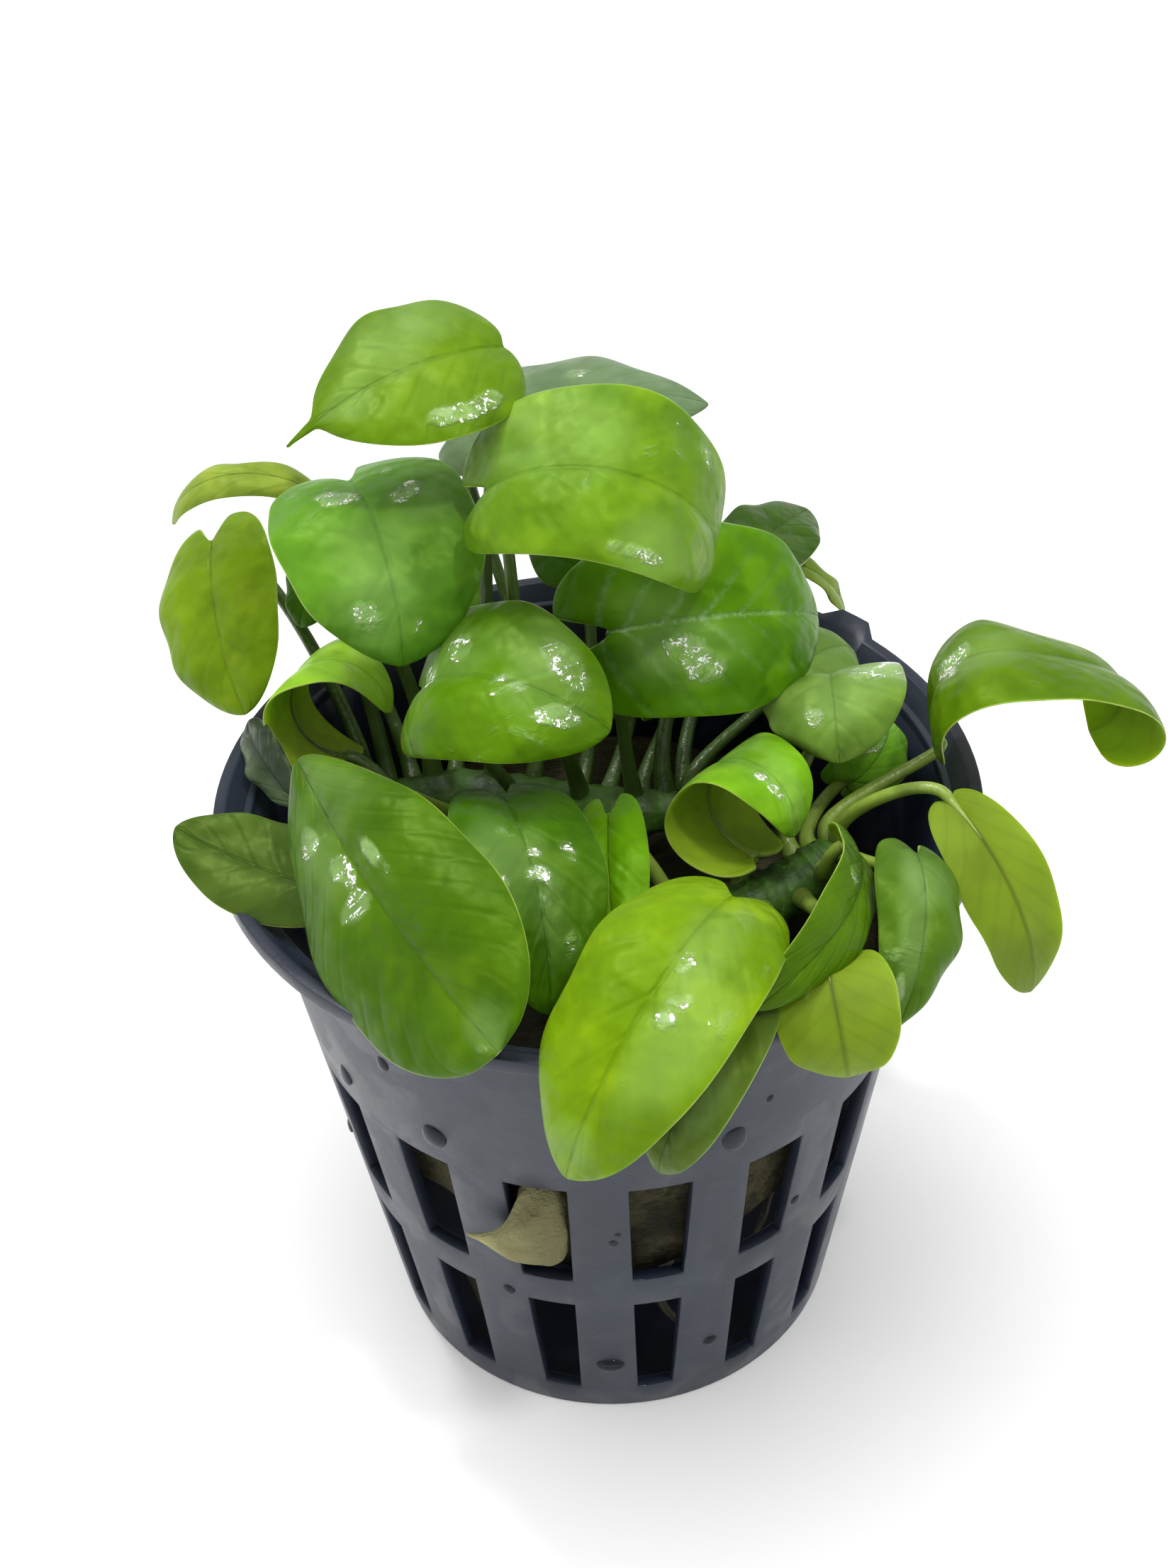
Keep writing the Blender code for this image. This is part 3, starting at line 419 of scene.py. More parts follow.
class Graph:
    """The node tree of one material."""

    def __init__(self, name):
        self.material = bpy.data.materials.new(name)
        self.material.use_nodes = True
        self.tree = self.material.node_tree
        self.tree.nodes.clear()

    def node(self, kind, settings=None, inputs=None, output=0):
        """Adds a node. Its settings are set first, then its inputs, each a Value or a plain value."""
        made = self.tree.nodes.new("ShaderNode" + kind)
        for key, value in (settings or {}).items():
            setattr(made, key, value)
        for key, value in (inputs or {}).items():
            socket = made.inputs[key]
            if isinstance(value, Value):
                self.tree.links.new(value.socket, socket)
            else:
                socket.default_value = value
        return Value(self, made.outputs[output])

    def place(self):
        return self.node("TexCoord", output="Object")

    def parts(self, vector):
        """The three numbers of a vector."""
        split = self.node("SeparateXYZ", inputs={0: vector})
        return [Value(self, socket) for socket in split.socket.node.outputs]

    def blade_place(self):
        """(across, along) on a blade: -1 to 1 from edge to edge, and 0 to 1 from base to tip."""
        across, along, _ = self.parts(self.node("UVMap", {"uv_map": "blade"}))
        return across * 2.0 - 1.0, along

    def noise(self, place, scale, detail=2.0, roughness=0.5, distortion=0.0):
        inputs = {"Vector": place, "Scale": scale, "Detail": detail}
        inputs |= {"Roughness": roughness, "Distortion": distortion}
        return self.node("TexNoise", inputs=inputs)

    def mix(self, low, high, factor):
        """A colour between two, each a Value or three numbers."""
        low, high = [c if isinstance(c, Value) else (*c, 1.0) for c in (low, high)]
        return self.node("Mix", {"data_type": "RGBA"}, {0: factor, 6: low, 7: high}, output=2)

    def bump(self, height, distance):
        return self.node("Bump", inputs={"Height": height, "Distance": distance, "Strength": 1.0})

    def finish(self, **inputs):
        """Ends in a Principled shader. Its input names are given with _ for each space."""
        shader = self.node("BsdfPrincipled", inputs={key.replace("_", " "): v for key, v in inputs.items()})
        out = self.tree.nodes.new("ShaderNodeOutputMaterial")
        self.tree.links.new(shader.socket, out.inputs["Surface"])
        return self.material


def shade(colour, factor):
    """The colour made darker, or paler where the factor is over 1."""
    return [min(1.0, c * factor) for c in colour]


# Finishes -------------------------------------------------------------------------------------------------


def pot_plastic(settings):
    """Dark moulded plastic, damp in patches, with painted shade inside and on its lip."""
    g = Graph("pot_plastic")
    place = g.place()
    cloudy = g.noise(place, 90, detail=3)
    grain = g.noise(place, 2600, detail=2)
    damp = g.noise(place, 160, detail=2, distortion=0.6).step(0.48, 0.60)
    base = g.mix(shade(settings.colour, 0.72), settings.colour, cloudy.step(0.3, 0.7))
    x, y, z = g.parts(place)
    # Painted shade: darker inside the pot, half as much on top of its lip
    depth = z * POT_TAPER + POT_BASE_RADIUS * MM - (x * x + y * y) ** 0.5
    lip = z.step((POT_HEIGHT - 0.3) * MM, (POT_HEIGHT - 0.05) * MM)
    base = g.mix(base, INSIDE_SHADE_COLOUR, (depth.step(0.3 * MM, 0.8 * MM) + lip * 0.5) * 0.85)
    roughness = settings.roughness - damp * 0.1 + (grain - 0.5) * 0.1
    normal = g.bump(grain * 0.25 + cloudy * 4.0, 0.00006)
    return g.finish(Base_Color=base, Roughness=roughness, Normal=normal, Specular_IOR_Level=0.38)


def wool_finish(name, colour, dark, patches, fade=None):
    """Matted mineral fibre: short strands that lie every way, in clumps.

    Its dark is a share of its colour. It lies in patches, and painted shade can darken the fibre towards it
    from left to right.
    """
    g = Graph(name)
    place = g.place()
    strands = []
    for turn in (0.5, 2.1, 3.6, 5.0):
        rotation = (turn, turn * 0.7, turn * 1.9)
        laid = g.node("Mapping", inputs={"Vector": place, "Rotation": rotation, "Scale": (0.4, 1.9, 1.0)})
        strands.append(g.noise(laid, 2100, detail=2, roughness=0.6, distortion=0.9))
    fibre = sum(strands[1:], strands[0]) / len(strands)
    clumps = g.noise(place, 420, detail=4, roughness=0.6)
    matted = fibre.step(0.43, 0.57) * 0.6 + clumps.step(0.38, 0.62) * 0.6
    base = g.mix(shade(colour, dark), colour, matted)
    base = g.mix(shade(colour, dark * 0.8), base, g.noise(place, 110, detail=2).step(*patches))
    if fade:
        # Painted shade, darker towards the right
        base = g.mix(base, shade(colour, dark * 0.55), g.parts(place)[0].step(*fade, 0.0, 0.9))
    normal = g.bump(fibre + clumps * 1.6, 0.0005)
    return g.finish(Base_Color=base, Roughness=0.95 - fibre * 0.1, Normal=normal, Specular_IOR_Level=0.15)


def stem_finish(name, colour):
    """Skin of a stem or root, with dark blotches and fine pale scars."""
    g = Graph(name)
    place = g.place()
    blotch = g.noise(place, 420, detail=3)
    fine = g.noise(place, 2200, detail=2)
    base = g.mix(shade(colour, 0.35), colour, blotch.step(0.35, 0.6))
    base = g.mix(base, shade(colour, 1.9), fine.step(0.55, 0.75) * 0.5)
    normal = g.bump(blotch * 0.8 + fine * 0.3, 0.00025)
    return g.finish(Base_Color=base, Roughness=0.38 + blotch * 0.3, Normal=normal)


def vein_lines(g, across, along, count, slant, sharp, wander):
    """0 to 1, with 1 on side veins that leave the midrib and sweep towards the tip."""
    swept = along - abs(across) ** 0.85 * slant + wander * 0.05
    ridge = g.node("Math", {"operation": "PINGPONG"}, {0: swept * count, 1: 0.5}) * 2.0
    return ridge.step(sharp, 1.0)


def gathered(across, along, leaf, spots):
    """The sum of soft ellipses on a blade, each 1 at its middle."""
    total = 0.0
    for at_across, at_along, wide, long in spots:
        aside = (across - at_across) * (leaf.width / wide)
        ahead = (along - at_along) * (2.0 * leaf.length / long)
        total = (aside * aside + ahead * ahead).step(0.0, 1.7, 1.0, 0.0) + total
    return total


def leaf_upper(leaf):
    """The upper side of one leaf: satin skin, patches of water film with painted glare, clusters of tiny
    drops with painted glints, and painted sheen.
    """
    light = leaf.tone
    deep = [light[0] * 0.42, light[1] * 0.5, light[2] * 0.5]
    pale = [min(1.0, light[0] * 1.35 + 0.01), min(1.0, light[1] * 1.2 + 0.01), light[2] * 1.6]
    g = Graph(leaf.name + "_upper")
    across, along = g.blade_place()
    reach = abs(across)
    place = g.place()
    cloudy = g.noise(place, 130, detail=3, distortion=0.4)
    mottle = g.noise(place, 520, detail=3, roughness=0.6)
    ripple = g.noise(place, 260, detail=2)
    glint_zone = gathered(across, along, leaf, leaf.glints)
    sheen = gathered(across, along, leaf, leaf.sheens) * cloudy.step(0.25, 0.6)
    threshold = 0.67 - 0.08 * leaf.film
    patches = g.noise(place, 170, detail=5, roughness=0.62, distortion=1.2) + glint_zone * 0.2
    film = patches.step(threshold, threshold + 0.15)
    wettest = patches.step(threshold + 0.03, threshold + 0.11)
    lines = abs(g.noise(place, 240, detail=3, distortion=1.5) - 0.5).step(0.005, 0.02, 1.0, 0.0)
    grains = g.noise(place, 2300, detail=3, roughness=0.7, distortion=1.5).step(0.50, 0.56)
    clusters = g.noise(place, 560, detail=3, roughness=0.6, distortion=1.0).step(0.53, 0.59)
    drop_glints = (wettest * (clusters + lines) * grains * (glint_zone * 1.6 + 0.1)).step(0.12, 0.5)
    veins = vein_lines(g, across, along, max(5.0, round(leaf.length / VEIN_SPACING)), 0.34, 0.6, cloudy)
    midrib = reach.step(0.0, 0.05, 1.0, 0.0)
    fill = cloudy.step(0.32, 0.62) * 0.65 + mottle.step(0.3, 0.7) * 0.35
    base = g.mix(deep, light, fill * 0.75 + 0.25)
    base = g.mix(base, pale, g.noise(place, 210, detail=2).step(0.54, 0.70) * 0.55)
    base = g.mix(base, deep, veins * 0.07 + midrib * (0.28 - 0.28 * leaf.veined))
    if leaf.veined:
        # Pale veins, with painted glints of the fine drops along them
        dew_glint_specks = g.noise(place, 3800, detail=2).step(0.46, 0.60)
        fade = along.step(0.05, 0.75, 1.0, 0.15) * reach.step(0.1, 0.9, 1.0, 0.25)
        vein_paleness_and_glint = dew_glint_specks * 0.3 + mottle.step(0.3, 0.7) * 0.35
        ribs = midrib * along.step(0.2, 0.9, 1.0, 0.3) + veins * fade * 0.6
        base = g.mix(base, PALE_VEIN_AND_GLINT_COLOUR, ribs * vein_paleness_and_glint * leaf.veined)
    # Painted highlight: a paler edge, for the thin bright line that it catches
    base = g.mix(base, pale, reach.step(0.95, 1.0) * 0.5)
    # Painted glare where the water film lies, a little more where drops gather
    base = g.mix(base, FILM_GLARE_COLOUR, film * (0.18 + mottle.step(0.36, 0.64) * 0.3) + glint_zone * 0.04)
    # Painted sheen
    base = g.mix(base, SHEEN_COLOUR, sheen * 0.2)
    # Painted glints of the tiny drops, which also stand up as bumps
    base = g.mix(base, DROP_GLINT_COLOUR, drop_glints * 0.9)
    relief = veins * -0.2 + ripple * 5.5 + mottle * 0.5 - midrib * 0.4
    relief = relief + film * mottle * 1.5 + drop_glints * 1.5
    return g.finish(
        Base_Color=base,
        Roughness=0.36 - film * 0.2 + mottle * 0.06,
        Normal=g.bump(relief, 0.00014),
        Coat_Weight=film * 0.8 + drop_glints * 0.2,
        Coat_Roughness=0.06,
        Subsurface_Weight=0.18,
        Subsurface_Radius=(0.6, 1.0, 0.15),
        Subsurface_Scale=0.0008,
        Specular_IOR_Level=0.24,
        Specular_Tint=(0.7, 1.0, 0.2, 1.0),
    )


def leaf_underside(leaf, underside):
    """The paler, matt lower side, with a dark midrib and faint veins."""
    colour = shade(underside, leaf.under)
    g = Graph(leaf.name + "_underside")
    across, along = g.blade_place()
    place = g.place()
    cloudy = g.noise(place, 170, detail=3)
    mottle = g.noise(place, 700, detail=3)
    veins = vein_lines(g, across, along, 7.0, 0.32, 0.55, cloudy)
    midrib = abs(across).step(0.01, 0.09, 1.0, 0.0)
    dark = shade(colour, 0.6)
    base = g.mix(dark, colour, cloudy.step(0.3, 0.6) * 0.7 + mottle * 0.4)
    base = g.mix(base, dark, veins * 0.2)
    base = g.mix(base, shade(colour, 0.4), midrib * 0.45)
    return g.finish(
        Base_Color=base,
        Roughness=0.46 + mottle * 0.2,
        Normal=g.bump(veins * 0.15 + mottle * 0.5 + cloudy * 2.5, 0.00014),
        Subsurface_Weight=0.55,
        Subsurface_Radius=(0.8, 1.0, 0.15),
        Subsurface_Scale=0.0012,
        Specular_IOR_Level=0.25,
        Specular_Tint=(0.8, 1.0, 0.4, 1.0),
    )


def leaf_edge(colour):
    """The thin pale cut of a blade's edge, which catches the light."""
    g = Graph("leaf_edge")
    fine = g.noise(g.place(), 900, detail=2)
    pale = [min(1.0, c * 1.3 + 0.02) for c in colour]
    return g.finish(Base_Color=g.mix(colour, pale, fine.step(0.35, 0.65)), Roughness=0.25 + fine * 0.15)


def stalk_skin(colour):
    """Smooth skin with faint streaks upwards."""
    g = Graph("stalk_skin")
    place = g.place()
    blotch = g.noise(place, 260, detail=2)
    streak = g.noise(g.node("Mapping", inputs={"Vector": place, "Scale": (1.0, 1.0, 0.12)}), 1800, detail=2)
    base = g.mix(shade(colour, 0.5), colour, blotch.step(0.3, 0.62) * 0.8 + streak * 0.25)
    return g.finish(
        Base_Color=base,
        Roughness=0.24 + streak * 0.16,
        Normal=g.bump(streak, 0.00012),
        Subsurface_Weight=0.15,
        Subsurface_Radius=(0.8, 1.0, 0.3),
        Subsurface_Scale=0.0008,
    )


def water_bead():
    """A bead of water on dark plastic: darker than the plastic round it, under a hard gloss."""
    g = Graph("water_bead")
    soft = g.noise(g.place(), 700, detail=2)
    base = g.mix((0.003, 0.004, 0.009), (0.011, 0.014, 0.024), soft.step(0.35, 0.65))
    normal = g.bump(soft, 0.00005)
    return g.finish(Base_Color=base, Roughness=0.08 + soft * 0.05, Normal=normal, Specular_IOR_Level=0.22)


# Shapes shared by the pieces ------------------------------------------------------------------------------


def add_piece(bm, name, materials, nodes=(), smooth_degrees=None):
    """Turns a bmesh in millimetres into one piece of the plant, which rides on its body."""
    bmesh.ops.scale(bm, vec=(MM, MM, MM), verts=bm.verts)
    mesh = bpy.data.meshes.new(name)
    bm.to_mesh(mesh)
    bm.free()
    mesh.shade_smooth()
    if smooth_degrees is not None:
        mesh.set_sharp_from_angle(angle=math.radians(smooth_degrees))
    for finish in materials:
        mesh.materials.append(finish)
    piece = bpy.data.objects.new(name, mesh)
    bpy.context.scene.collection.objects.link(piece)
    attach(piece, BODY)
    if nodes:
        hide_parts(*nodes)
    return piece


def subdivide(piece, levels=1):
    smooth = piece.modifiers.new("smooth", "SUBSURF")
    smooth.levels = smooth.render_levels = levels


def path_point(path, share):
    """The point and direction at this share, 0 to 1, of a smooth curve through the path's points."""
    points = [Vector(p) for p in path]
    spans = len(points) - 1
    place = min(max(share, 0.0), 1.0) * spans
    index = min(int(place), spans - 1)
    t = place - index
    before = points[max(index - 1, 0)]
    a, b = points[index], points[index + 1]
    after = points[min(index + 2, spans)]
    leave, arrive = (b - before) / 2, (after - a) / 2
    t2, t3 = t * t, t * t * t
    point = a * (2 * t3 - 3 * t2 + 1) + leave * (t3 - 2 * t2 + t)
    point = point + b * (3 * t2 - 2 * t3) + arrive * (t3 - t2)
    slope = a * (6 * t2 - 6 * t) + leave * (3 * t2 - 4 * t + 1)
    slope = slope + b * (6 * t - 6 * t2) + arrive * (3 * t2 - 2 * t)
    return point, slope.normalized()


def value_along(values, share):
    place = min(max(share, 0.0), 1.0) * (len(values) - 1)
    index = min(int(place), len(values) - 2)
    return values[index] + (values[index + 1] - values[index]) * (place - index)


def bezier(control, share):
    points = list(control)
    while len(points) > 1:
        points = [a.lerp(b, share) for a, b in zip(points, points[1:])]
    return points[0]


def sweep_tube(bm, line, radii, side, sides=STALK_SIDES, material=0, squash=1.0):
    """Extrudes a ring along a line of points, with a closed end at each side."""
    before = set(bm.faces)
    rings = [bmesh.ops.create_circle(bm, cap_ends=True, segments=sides, radius=1.0)["verts"]]
    cap = next(iter(set(bm.faces) - before))
    for _ in line[1:]:
        cap = bmesh.ops.extrude_discrete_faces(bm, faces=[cap])["faces"][0]
        rings.append(list(cap.verts))
    across = Vector(side)
    for index, centre in enumerate(line):
        ahead = line[min(index + 1, len(line) - 1)] - line[max(index - 1, 0)]
        direction = ahead.normalized()
        across = (across - across.dot(direction) * direction).normalized()
        up = direction.cross(across)
        order = sorted(rings[index], key=lambda v: math.atan2(v.co.y, v.co.x))
        for step, vert in enumerate(order):
            angle = step * math.tau / sides
            vert.co = centre + (across * math.cos(angle) + up * math.sin(angle) * squash) * radii[index]
    for face in set(bm.faces) - before:
        face.material_index = material


def spin_section(bm, section, steps):
    """Spins a section of (radius, height) once round the plant's axis into a closed solid."""
    verts = [bm.verts.new((0, -r, z)) for r, z in section]
    edges = [bm.edges.new(pair) for pair in zip(verts, verts[1:])]
    bmesh.ops.spin(
        bm, geom=verts + edges, angle=math.tau, steps=steps, axis=(0, 0, 1), cent=(0, 0, 0), use_merge=True
    )
    bmesh.ops.remove_doubles(bm, verts=bm.verts, dist=0.001)
    bmesh.ops.recalc_face_normals(bm, faces=bm.faces)


def facing_out(angle):
    """The directions outwards and sideways at an angle round the pot from the front."""
    return Vector((math.sin(angle), -math.cos(angle), 0)), Vector((math.cos(angle), math.sin(angle), 0))


# Net pot --------------------------------------------------------------------------------------------------


def wall_radius(z):
    return POT_BASE_RADIUS + POT_TAPER * z


def slot_width(z):
    return SLOT_WIDTH_LOW + SLOT_WIDTH_RISE * z


def column_angle(column):
    """Angle of a slot column's middle, measured from the front (-Y) towards +X."""
    return SLOT_TURN + (column + 0.5) * math.tau / SLOT_COLUMNS


def step_angle(column, place, radius, z):
    """Angle of one step of a column: the first steps span the slot and the rest the rib after it."""
    pitch = math.tau / SLOT_COLUMNS
    half = 0.5 * slot_width(z) / max(radius, FLOOR_RING)
    if place <= SLOT_STEPS:
        return column_angle(column) + half * (2 * place / SLOT_STEPS - 1)
    share = (place - SLOT_STEPS) / (STEPS_PER_COLUMN - SLOT_STEPS)
    return column_angle(column) + half + share * (pitch - 2 * half)


def pot_profile():
    """The pot's section as (radius, height), once round: up its outside, over the lip and down inside."""
    lip_bottom = POT_HEIGHT - LIP_HEIGHT
    outside = [(0, 0), (FLOOR_RING, 0), (POT_BASE_RADIUS, 0)]
    outside += [(wall_radius(z), z) for z in WALL_LEVELS]
    lip = [
        (POT_TOP_RADIUS, lip_bottom),
        (LIP_RADIUS, lip_bottom),
        (LIP_RADIUS, POT_HEIGHT),
        (LIP_RADIUS - LIP_LAND, POT_HEIGHT),
        (POT_TOP_RADIUS - POT_WALL, POT_HEIGHT - 2.5 * LIP_HEIGHT),
    ]
    inside = [(wall_radius(z) - POT_WALL, z) for z in reversed(WALL_LEVELS[:-2])]
    floor = [(r, POT_WALL) for r in (POT_BASE_RADIUS - POT_WALL, FLOOR_RING, 0)]
    return outside + lip + inside + floor


def build_pot(settings):
    bm = bmesh.new()
    steps = SLOT_COLUMNS * STEPS_PER_COLUMN
    spin_section(bm, pot_profile(), steps)
    place_of = {}
    for vert in bm.verts:
        radius = math.hypot(vert.co.x, vert.co.y)
        if radius < 0.01:
            continue
        index = round(math.atan2(vert.co.x, -vert.co.y) * steps / math.tau) % steps
        column, place = divmod(index, STEPS_PER_COLUMN)
        place_of[vert] = (column, place)
        angle = step_angle(column, place, radius, vert.co.z)
        vert.co = (radius * math.sin(angle), -radius * math.cos(angle), vert.co.z)
    raise_lip_tab(place_of)
    openings = []
    for face in bm.faces:
        places = [place_of.get(v) for v in face.verts]
        if None in places or len({column for column, _ in places}) != 1:
            continue
        if max(place for _, place in places) > SLOT_STEPS:
            continue
        middle = face.calc_center_median().z
        if any(low < middle < high for low, high in SLOT_ROWS):
            openings.append(face)
    bmesh.ops.delete(bm, geom=openings, context="FACES")
    bridge_slots(bm, place_of)
    sharp = [e for e in bm.edges if e.is_manifold and e.calc_face_angle() > SHARP_EDGE]
    bmesh.ops.bevel(
        bm,
        geom=sharp,
        offset=settings.edge / MM,
        offset_type="OFFSET",
        segments=2,
        profile=0.5,
        affect="EDGES",
        material=-1,
        clamp_overlap=True,
    )
    add_piece(bm, "slotted_pot", [pot_plastic(settings)], ["net_pot"], smooth_degrees=40)


def raise_lip_tab(place_of):
    """The small moulded tab that stands out from the lip above one rib."""
    middle = (SLOT_STEPS + STEPS_PER_COLUMN) // 2
    for vert, (column, place) in place_of.items():
        on_tab = column == LIP_TAB_COLUMN and abs(place - middle) <= 1
        if on_tab and vert.co.xy.length > LIP_RADIUS - LIP_LAND / 2:
            vert.co.xy *= 1 + LIP_TAB_REACH / LIP_RADIUS
            if vert.co.z > POT_HEIGHT - LIP_HEIGHT / 2:
                vert.co.z += LIP_TAB_RISE


def bridge_slots(bm, place_of):
    """Joins the outer and inner border of every slot, so that the wall shows its thickness there."""
    gap = 0.5 * (SLOT_ROWS[0][1] + SLOT_ROWS[1][0])
    borders = {}
    for edge in bm.edges:
        if edge.is_boundary:
            middle = (edge.verts[0].co + edge.verts[1].co) / 2
            borders.setdefault((place_of[edge.verts[0]][0], middle.z > gap), []).append(edge)
    for edges in borders.values():
        bmesh.ops.bridge_loops(bm, edges=edges)


def build_drops():
    """Beads of water on the pot's wall: flat domes, drawn out downwards."""
    bm = bmesh.new()
    for degrees, z, wide, tall in WALL_DROPS:
        outward, across = facing_out(math.radians(degrees))
        turn = Matrix((across, outward.cross(across), outward)).transposed().to_4x4()
        place = Matrix.Translation(outward * wall_radius(z) + Vector((0, 0, z)))
        shape = Matrix.Diagonal((wide / 2, tall / 2, wide * DROP_RISE, 1))
        bmesh.ops.create_uvsphere(bm, u_segments=20, v_segments=12, radius=1.0, matrix=place @ turn @ shape)
    add_piece(bm, "water_beads", [water_bead()])


# Wool plug ------------------------------------------------------------------------------------------------


def wool_radius(z):
    return wall_radius(z) - POT_WALL - WOOL_CLEARANCE


def build_wool(settings):
    bm = bmesh.new()
    section = [(r, WOOL_BOTTOM + 0.4 * (r == 9)) for r in (0, 3, 6, 9, 12, 15, 18)]
    section += [(wool_radius(z), z) for z in (WOOL_BOTTOM, 22.5, 24.5, 26.5, 29, 32, 35)]
    section += [(wool_radius(WOOL_TOP) - 1, WOOL_TOP - 1)]
    section += [(r, WOOL_TOP) for r in (19.5, 16.5, 13.5, 10.5, 7.5, 4.5, 2, 0)]
    spin_section(bm, section, WOOL_STEPS)
    for vert in bm.verts:
        flat = Vector((vert.co.x, vert.co.y, 0))
        radius = flat.length
        torn = noise.noise(flat * 0.16)
        lower = vert.co.z < (WOOL_BOTTOM + WOOL_TOP) / 2
        vert.co.z += WOOL_TORN[0 if lower else 1] * torn * (radius > 1)
        if lower:
            vert.co.z += WOOL_TILT * max(0.0, -vert.co.x / wool_radius(WOOL_BOTTOM))
            vert.co.z -= WOOL_SAG * max(0.0, -vert.co.y / wool_radius(WOOL_BOTTOM)) ** 8
        rough = noise.fractal(vert.co * 0.9, 1.0, 2.0, 3)
        vert.co.z += WOOL_ROUGHNESS * rough
        if radius > 1:
            limit = wool_radius(vert.co.z) / radius
            shrink = min(1.0, limit) * (1 - 0.012 * (1 + rough))
            vert.co.x *= shrink
            vert.co.y *= shrink
    finish = wool_finish("wet_wool", settings.colour, 0.3, (0.38, 0.56))
    subdivide(add_piece(bm, "wool", [finish], ["wool_plug"]))


def build_tuft(settings):
    """The wool that bulges through one slot, with a ragged head drawn out to a wisp at one side."""
    outward, across = facing_out(column_angle(TUFT_COLUMN))
    low, high = SLOT_ROWS[1]
    outer = wall_radius((low + high) / 2)
    bm = bmesh.new()
    line, rings = [], []
    for reach, shift, half, above, below, degrees in TUFT_RINGS:
        bottom, top = low + above, high - below
        line.append(outward * (outer + reach) + across * shift + Vector((0, 0, (bottom + top) / 2)))
        turn = math.radians(degrees)
        sideways = across * math.cos(turn) + outward * math.sin(turn)
        rings.append((half, (top - bottom) / 2, sideways))
    sweep_tube(bm, line, [1.0] * len(line), across, sides=TUFT_SIDES)
    for vert in bm.verts:
        index = min(range(len(line)), key=lambda i: (vert.co - line[i]).length)
        half, half_height, sideways = rings[index]
        offset = vert.co - line[index]
        level = max(-1.0, min(1.0, offset.z))
        wide = math.copysign(math.sqrt(1 - level**2) ** 0.6, offset.dot(sideways))
        tall = math.copysign(abs(level) ** 0.8, level) * half_height
        vert.co = line[index] + sideways * wide * half + Vector((0, 0, tall))
        vert.co += 0.3 * min(half, 1.0) * noise.noise_vector(vert.co * 0.9)
        vert.co.z += 0.9 * min(half, 1.0) * noise.noise(vert.co * 1.6)
        vert.co += 0.35 * min(half, 1.0) * noise.noise_vector(vert.co * 2.6)
    finish = wool_finish("dry_wool", settings.tuft_colour, 0.62, (0.3, 0.5), TUFT_SHADE_FADE)
    subdivide(add_piece(bm, "wool_tuft", [finish]), 2)


# Rhizomes and roots ---------------------------------------------------------------------------------------


def build_rhizome(rhizome, finish):
    """A stem with a raised scar ring at every old leaf."""
    bm = bmesh.new()
    line, radii = [], []
    for i in range(RHIZOME_STEPS):
        share = i / (RHIZOME_STEPS - 1)
        line.append(path_point(rhizome.path, share)[0])
        ring = abs(math.sin(share * math.pi * SCARS)) ** 6
        ends = min(1.0, 8 * min(share, 1 - share) + 0.45)
        radii.append(value_along(rhizome.radii, share) * (0.93 + 0.09 * ring) * ends)
    sweep_tube(bm, line, radii, (0, 0, 1), sides=20)
    for vert in bm.verts:
        vert.co += 0.12 * noise.noise_vector(vert.co * 0.8)
    bmesh.ops.recalc_face_normals(bm, faces=bm.faces)
    name = rhizome.name.replace("rhizome", "creeping_stem")
    subdivide(add_piece(bm, name, [finish], [rhizome.name]))


def build_root(name, start, path, finish):
    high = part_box(name)[1].z / MM
    bm = bmesh.new()
    full = ((*start, high + ROOT_BITE), *path)
    line, radii = [], []
    for i in range(ROOT_STEPS):
        share = i / (ROOT_STEPS - 1)
        point = path_point(full, share)[0]
        line.append(point + 0.25 * noise.noise_vector(point * 0.35) * min(1.0, 4 * share))
        radii.append(value_along(ROOT_RADII, share) * (1 + 0.12 * math.sin(share * 61)))
    sweep_tube(bm, line, radii, (1, 0, 0), sides=10)
    bmesh.ops.recalc_face_normals(bm, faces=bm.faces)
    subdivide(add_piece(bm, name.replace("root", "hanging_root"), [finish], [name]))


# Leaves ---------------------------------------------------------------------------------------------------


def arc_offset(start, turn, length):
    """How far (across, up) an arc goes that leaves at one slope and turns down by another angle."""
    if abs(turn) < 1e-4:
        return length * math.cos(start), length * math.sin(start)
    radius = length / turn
    end = start - turn
    return radius * (math.sin(start) - math.sin(end)), radius * (math.cos(end) - math.cos(start))


def outline(share, leaf):
    """Width of the blade at this share of its length: rounded at the base, pointed at the tip."""
    body = min(share / (1.0 - leaf.drip), 1.0)
    widest = leaf.heel / (leaf.heel + leaf.point)
    most = widest**leaf.heel * (1.0 - widest) ** leaf.point
    shoulder = max(0.06, 0.28 - (leaf.heel - 0.42) * 1.2) * (1.0 - body) ** 1.5
    blade = body**leaf.heel * (1.0 - body) ** leaf.point / most
    return shoulder + (1 - shoulder) * blade + 3.5 * leaf.drip * (1.0 - share) * share**2


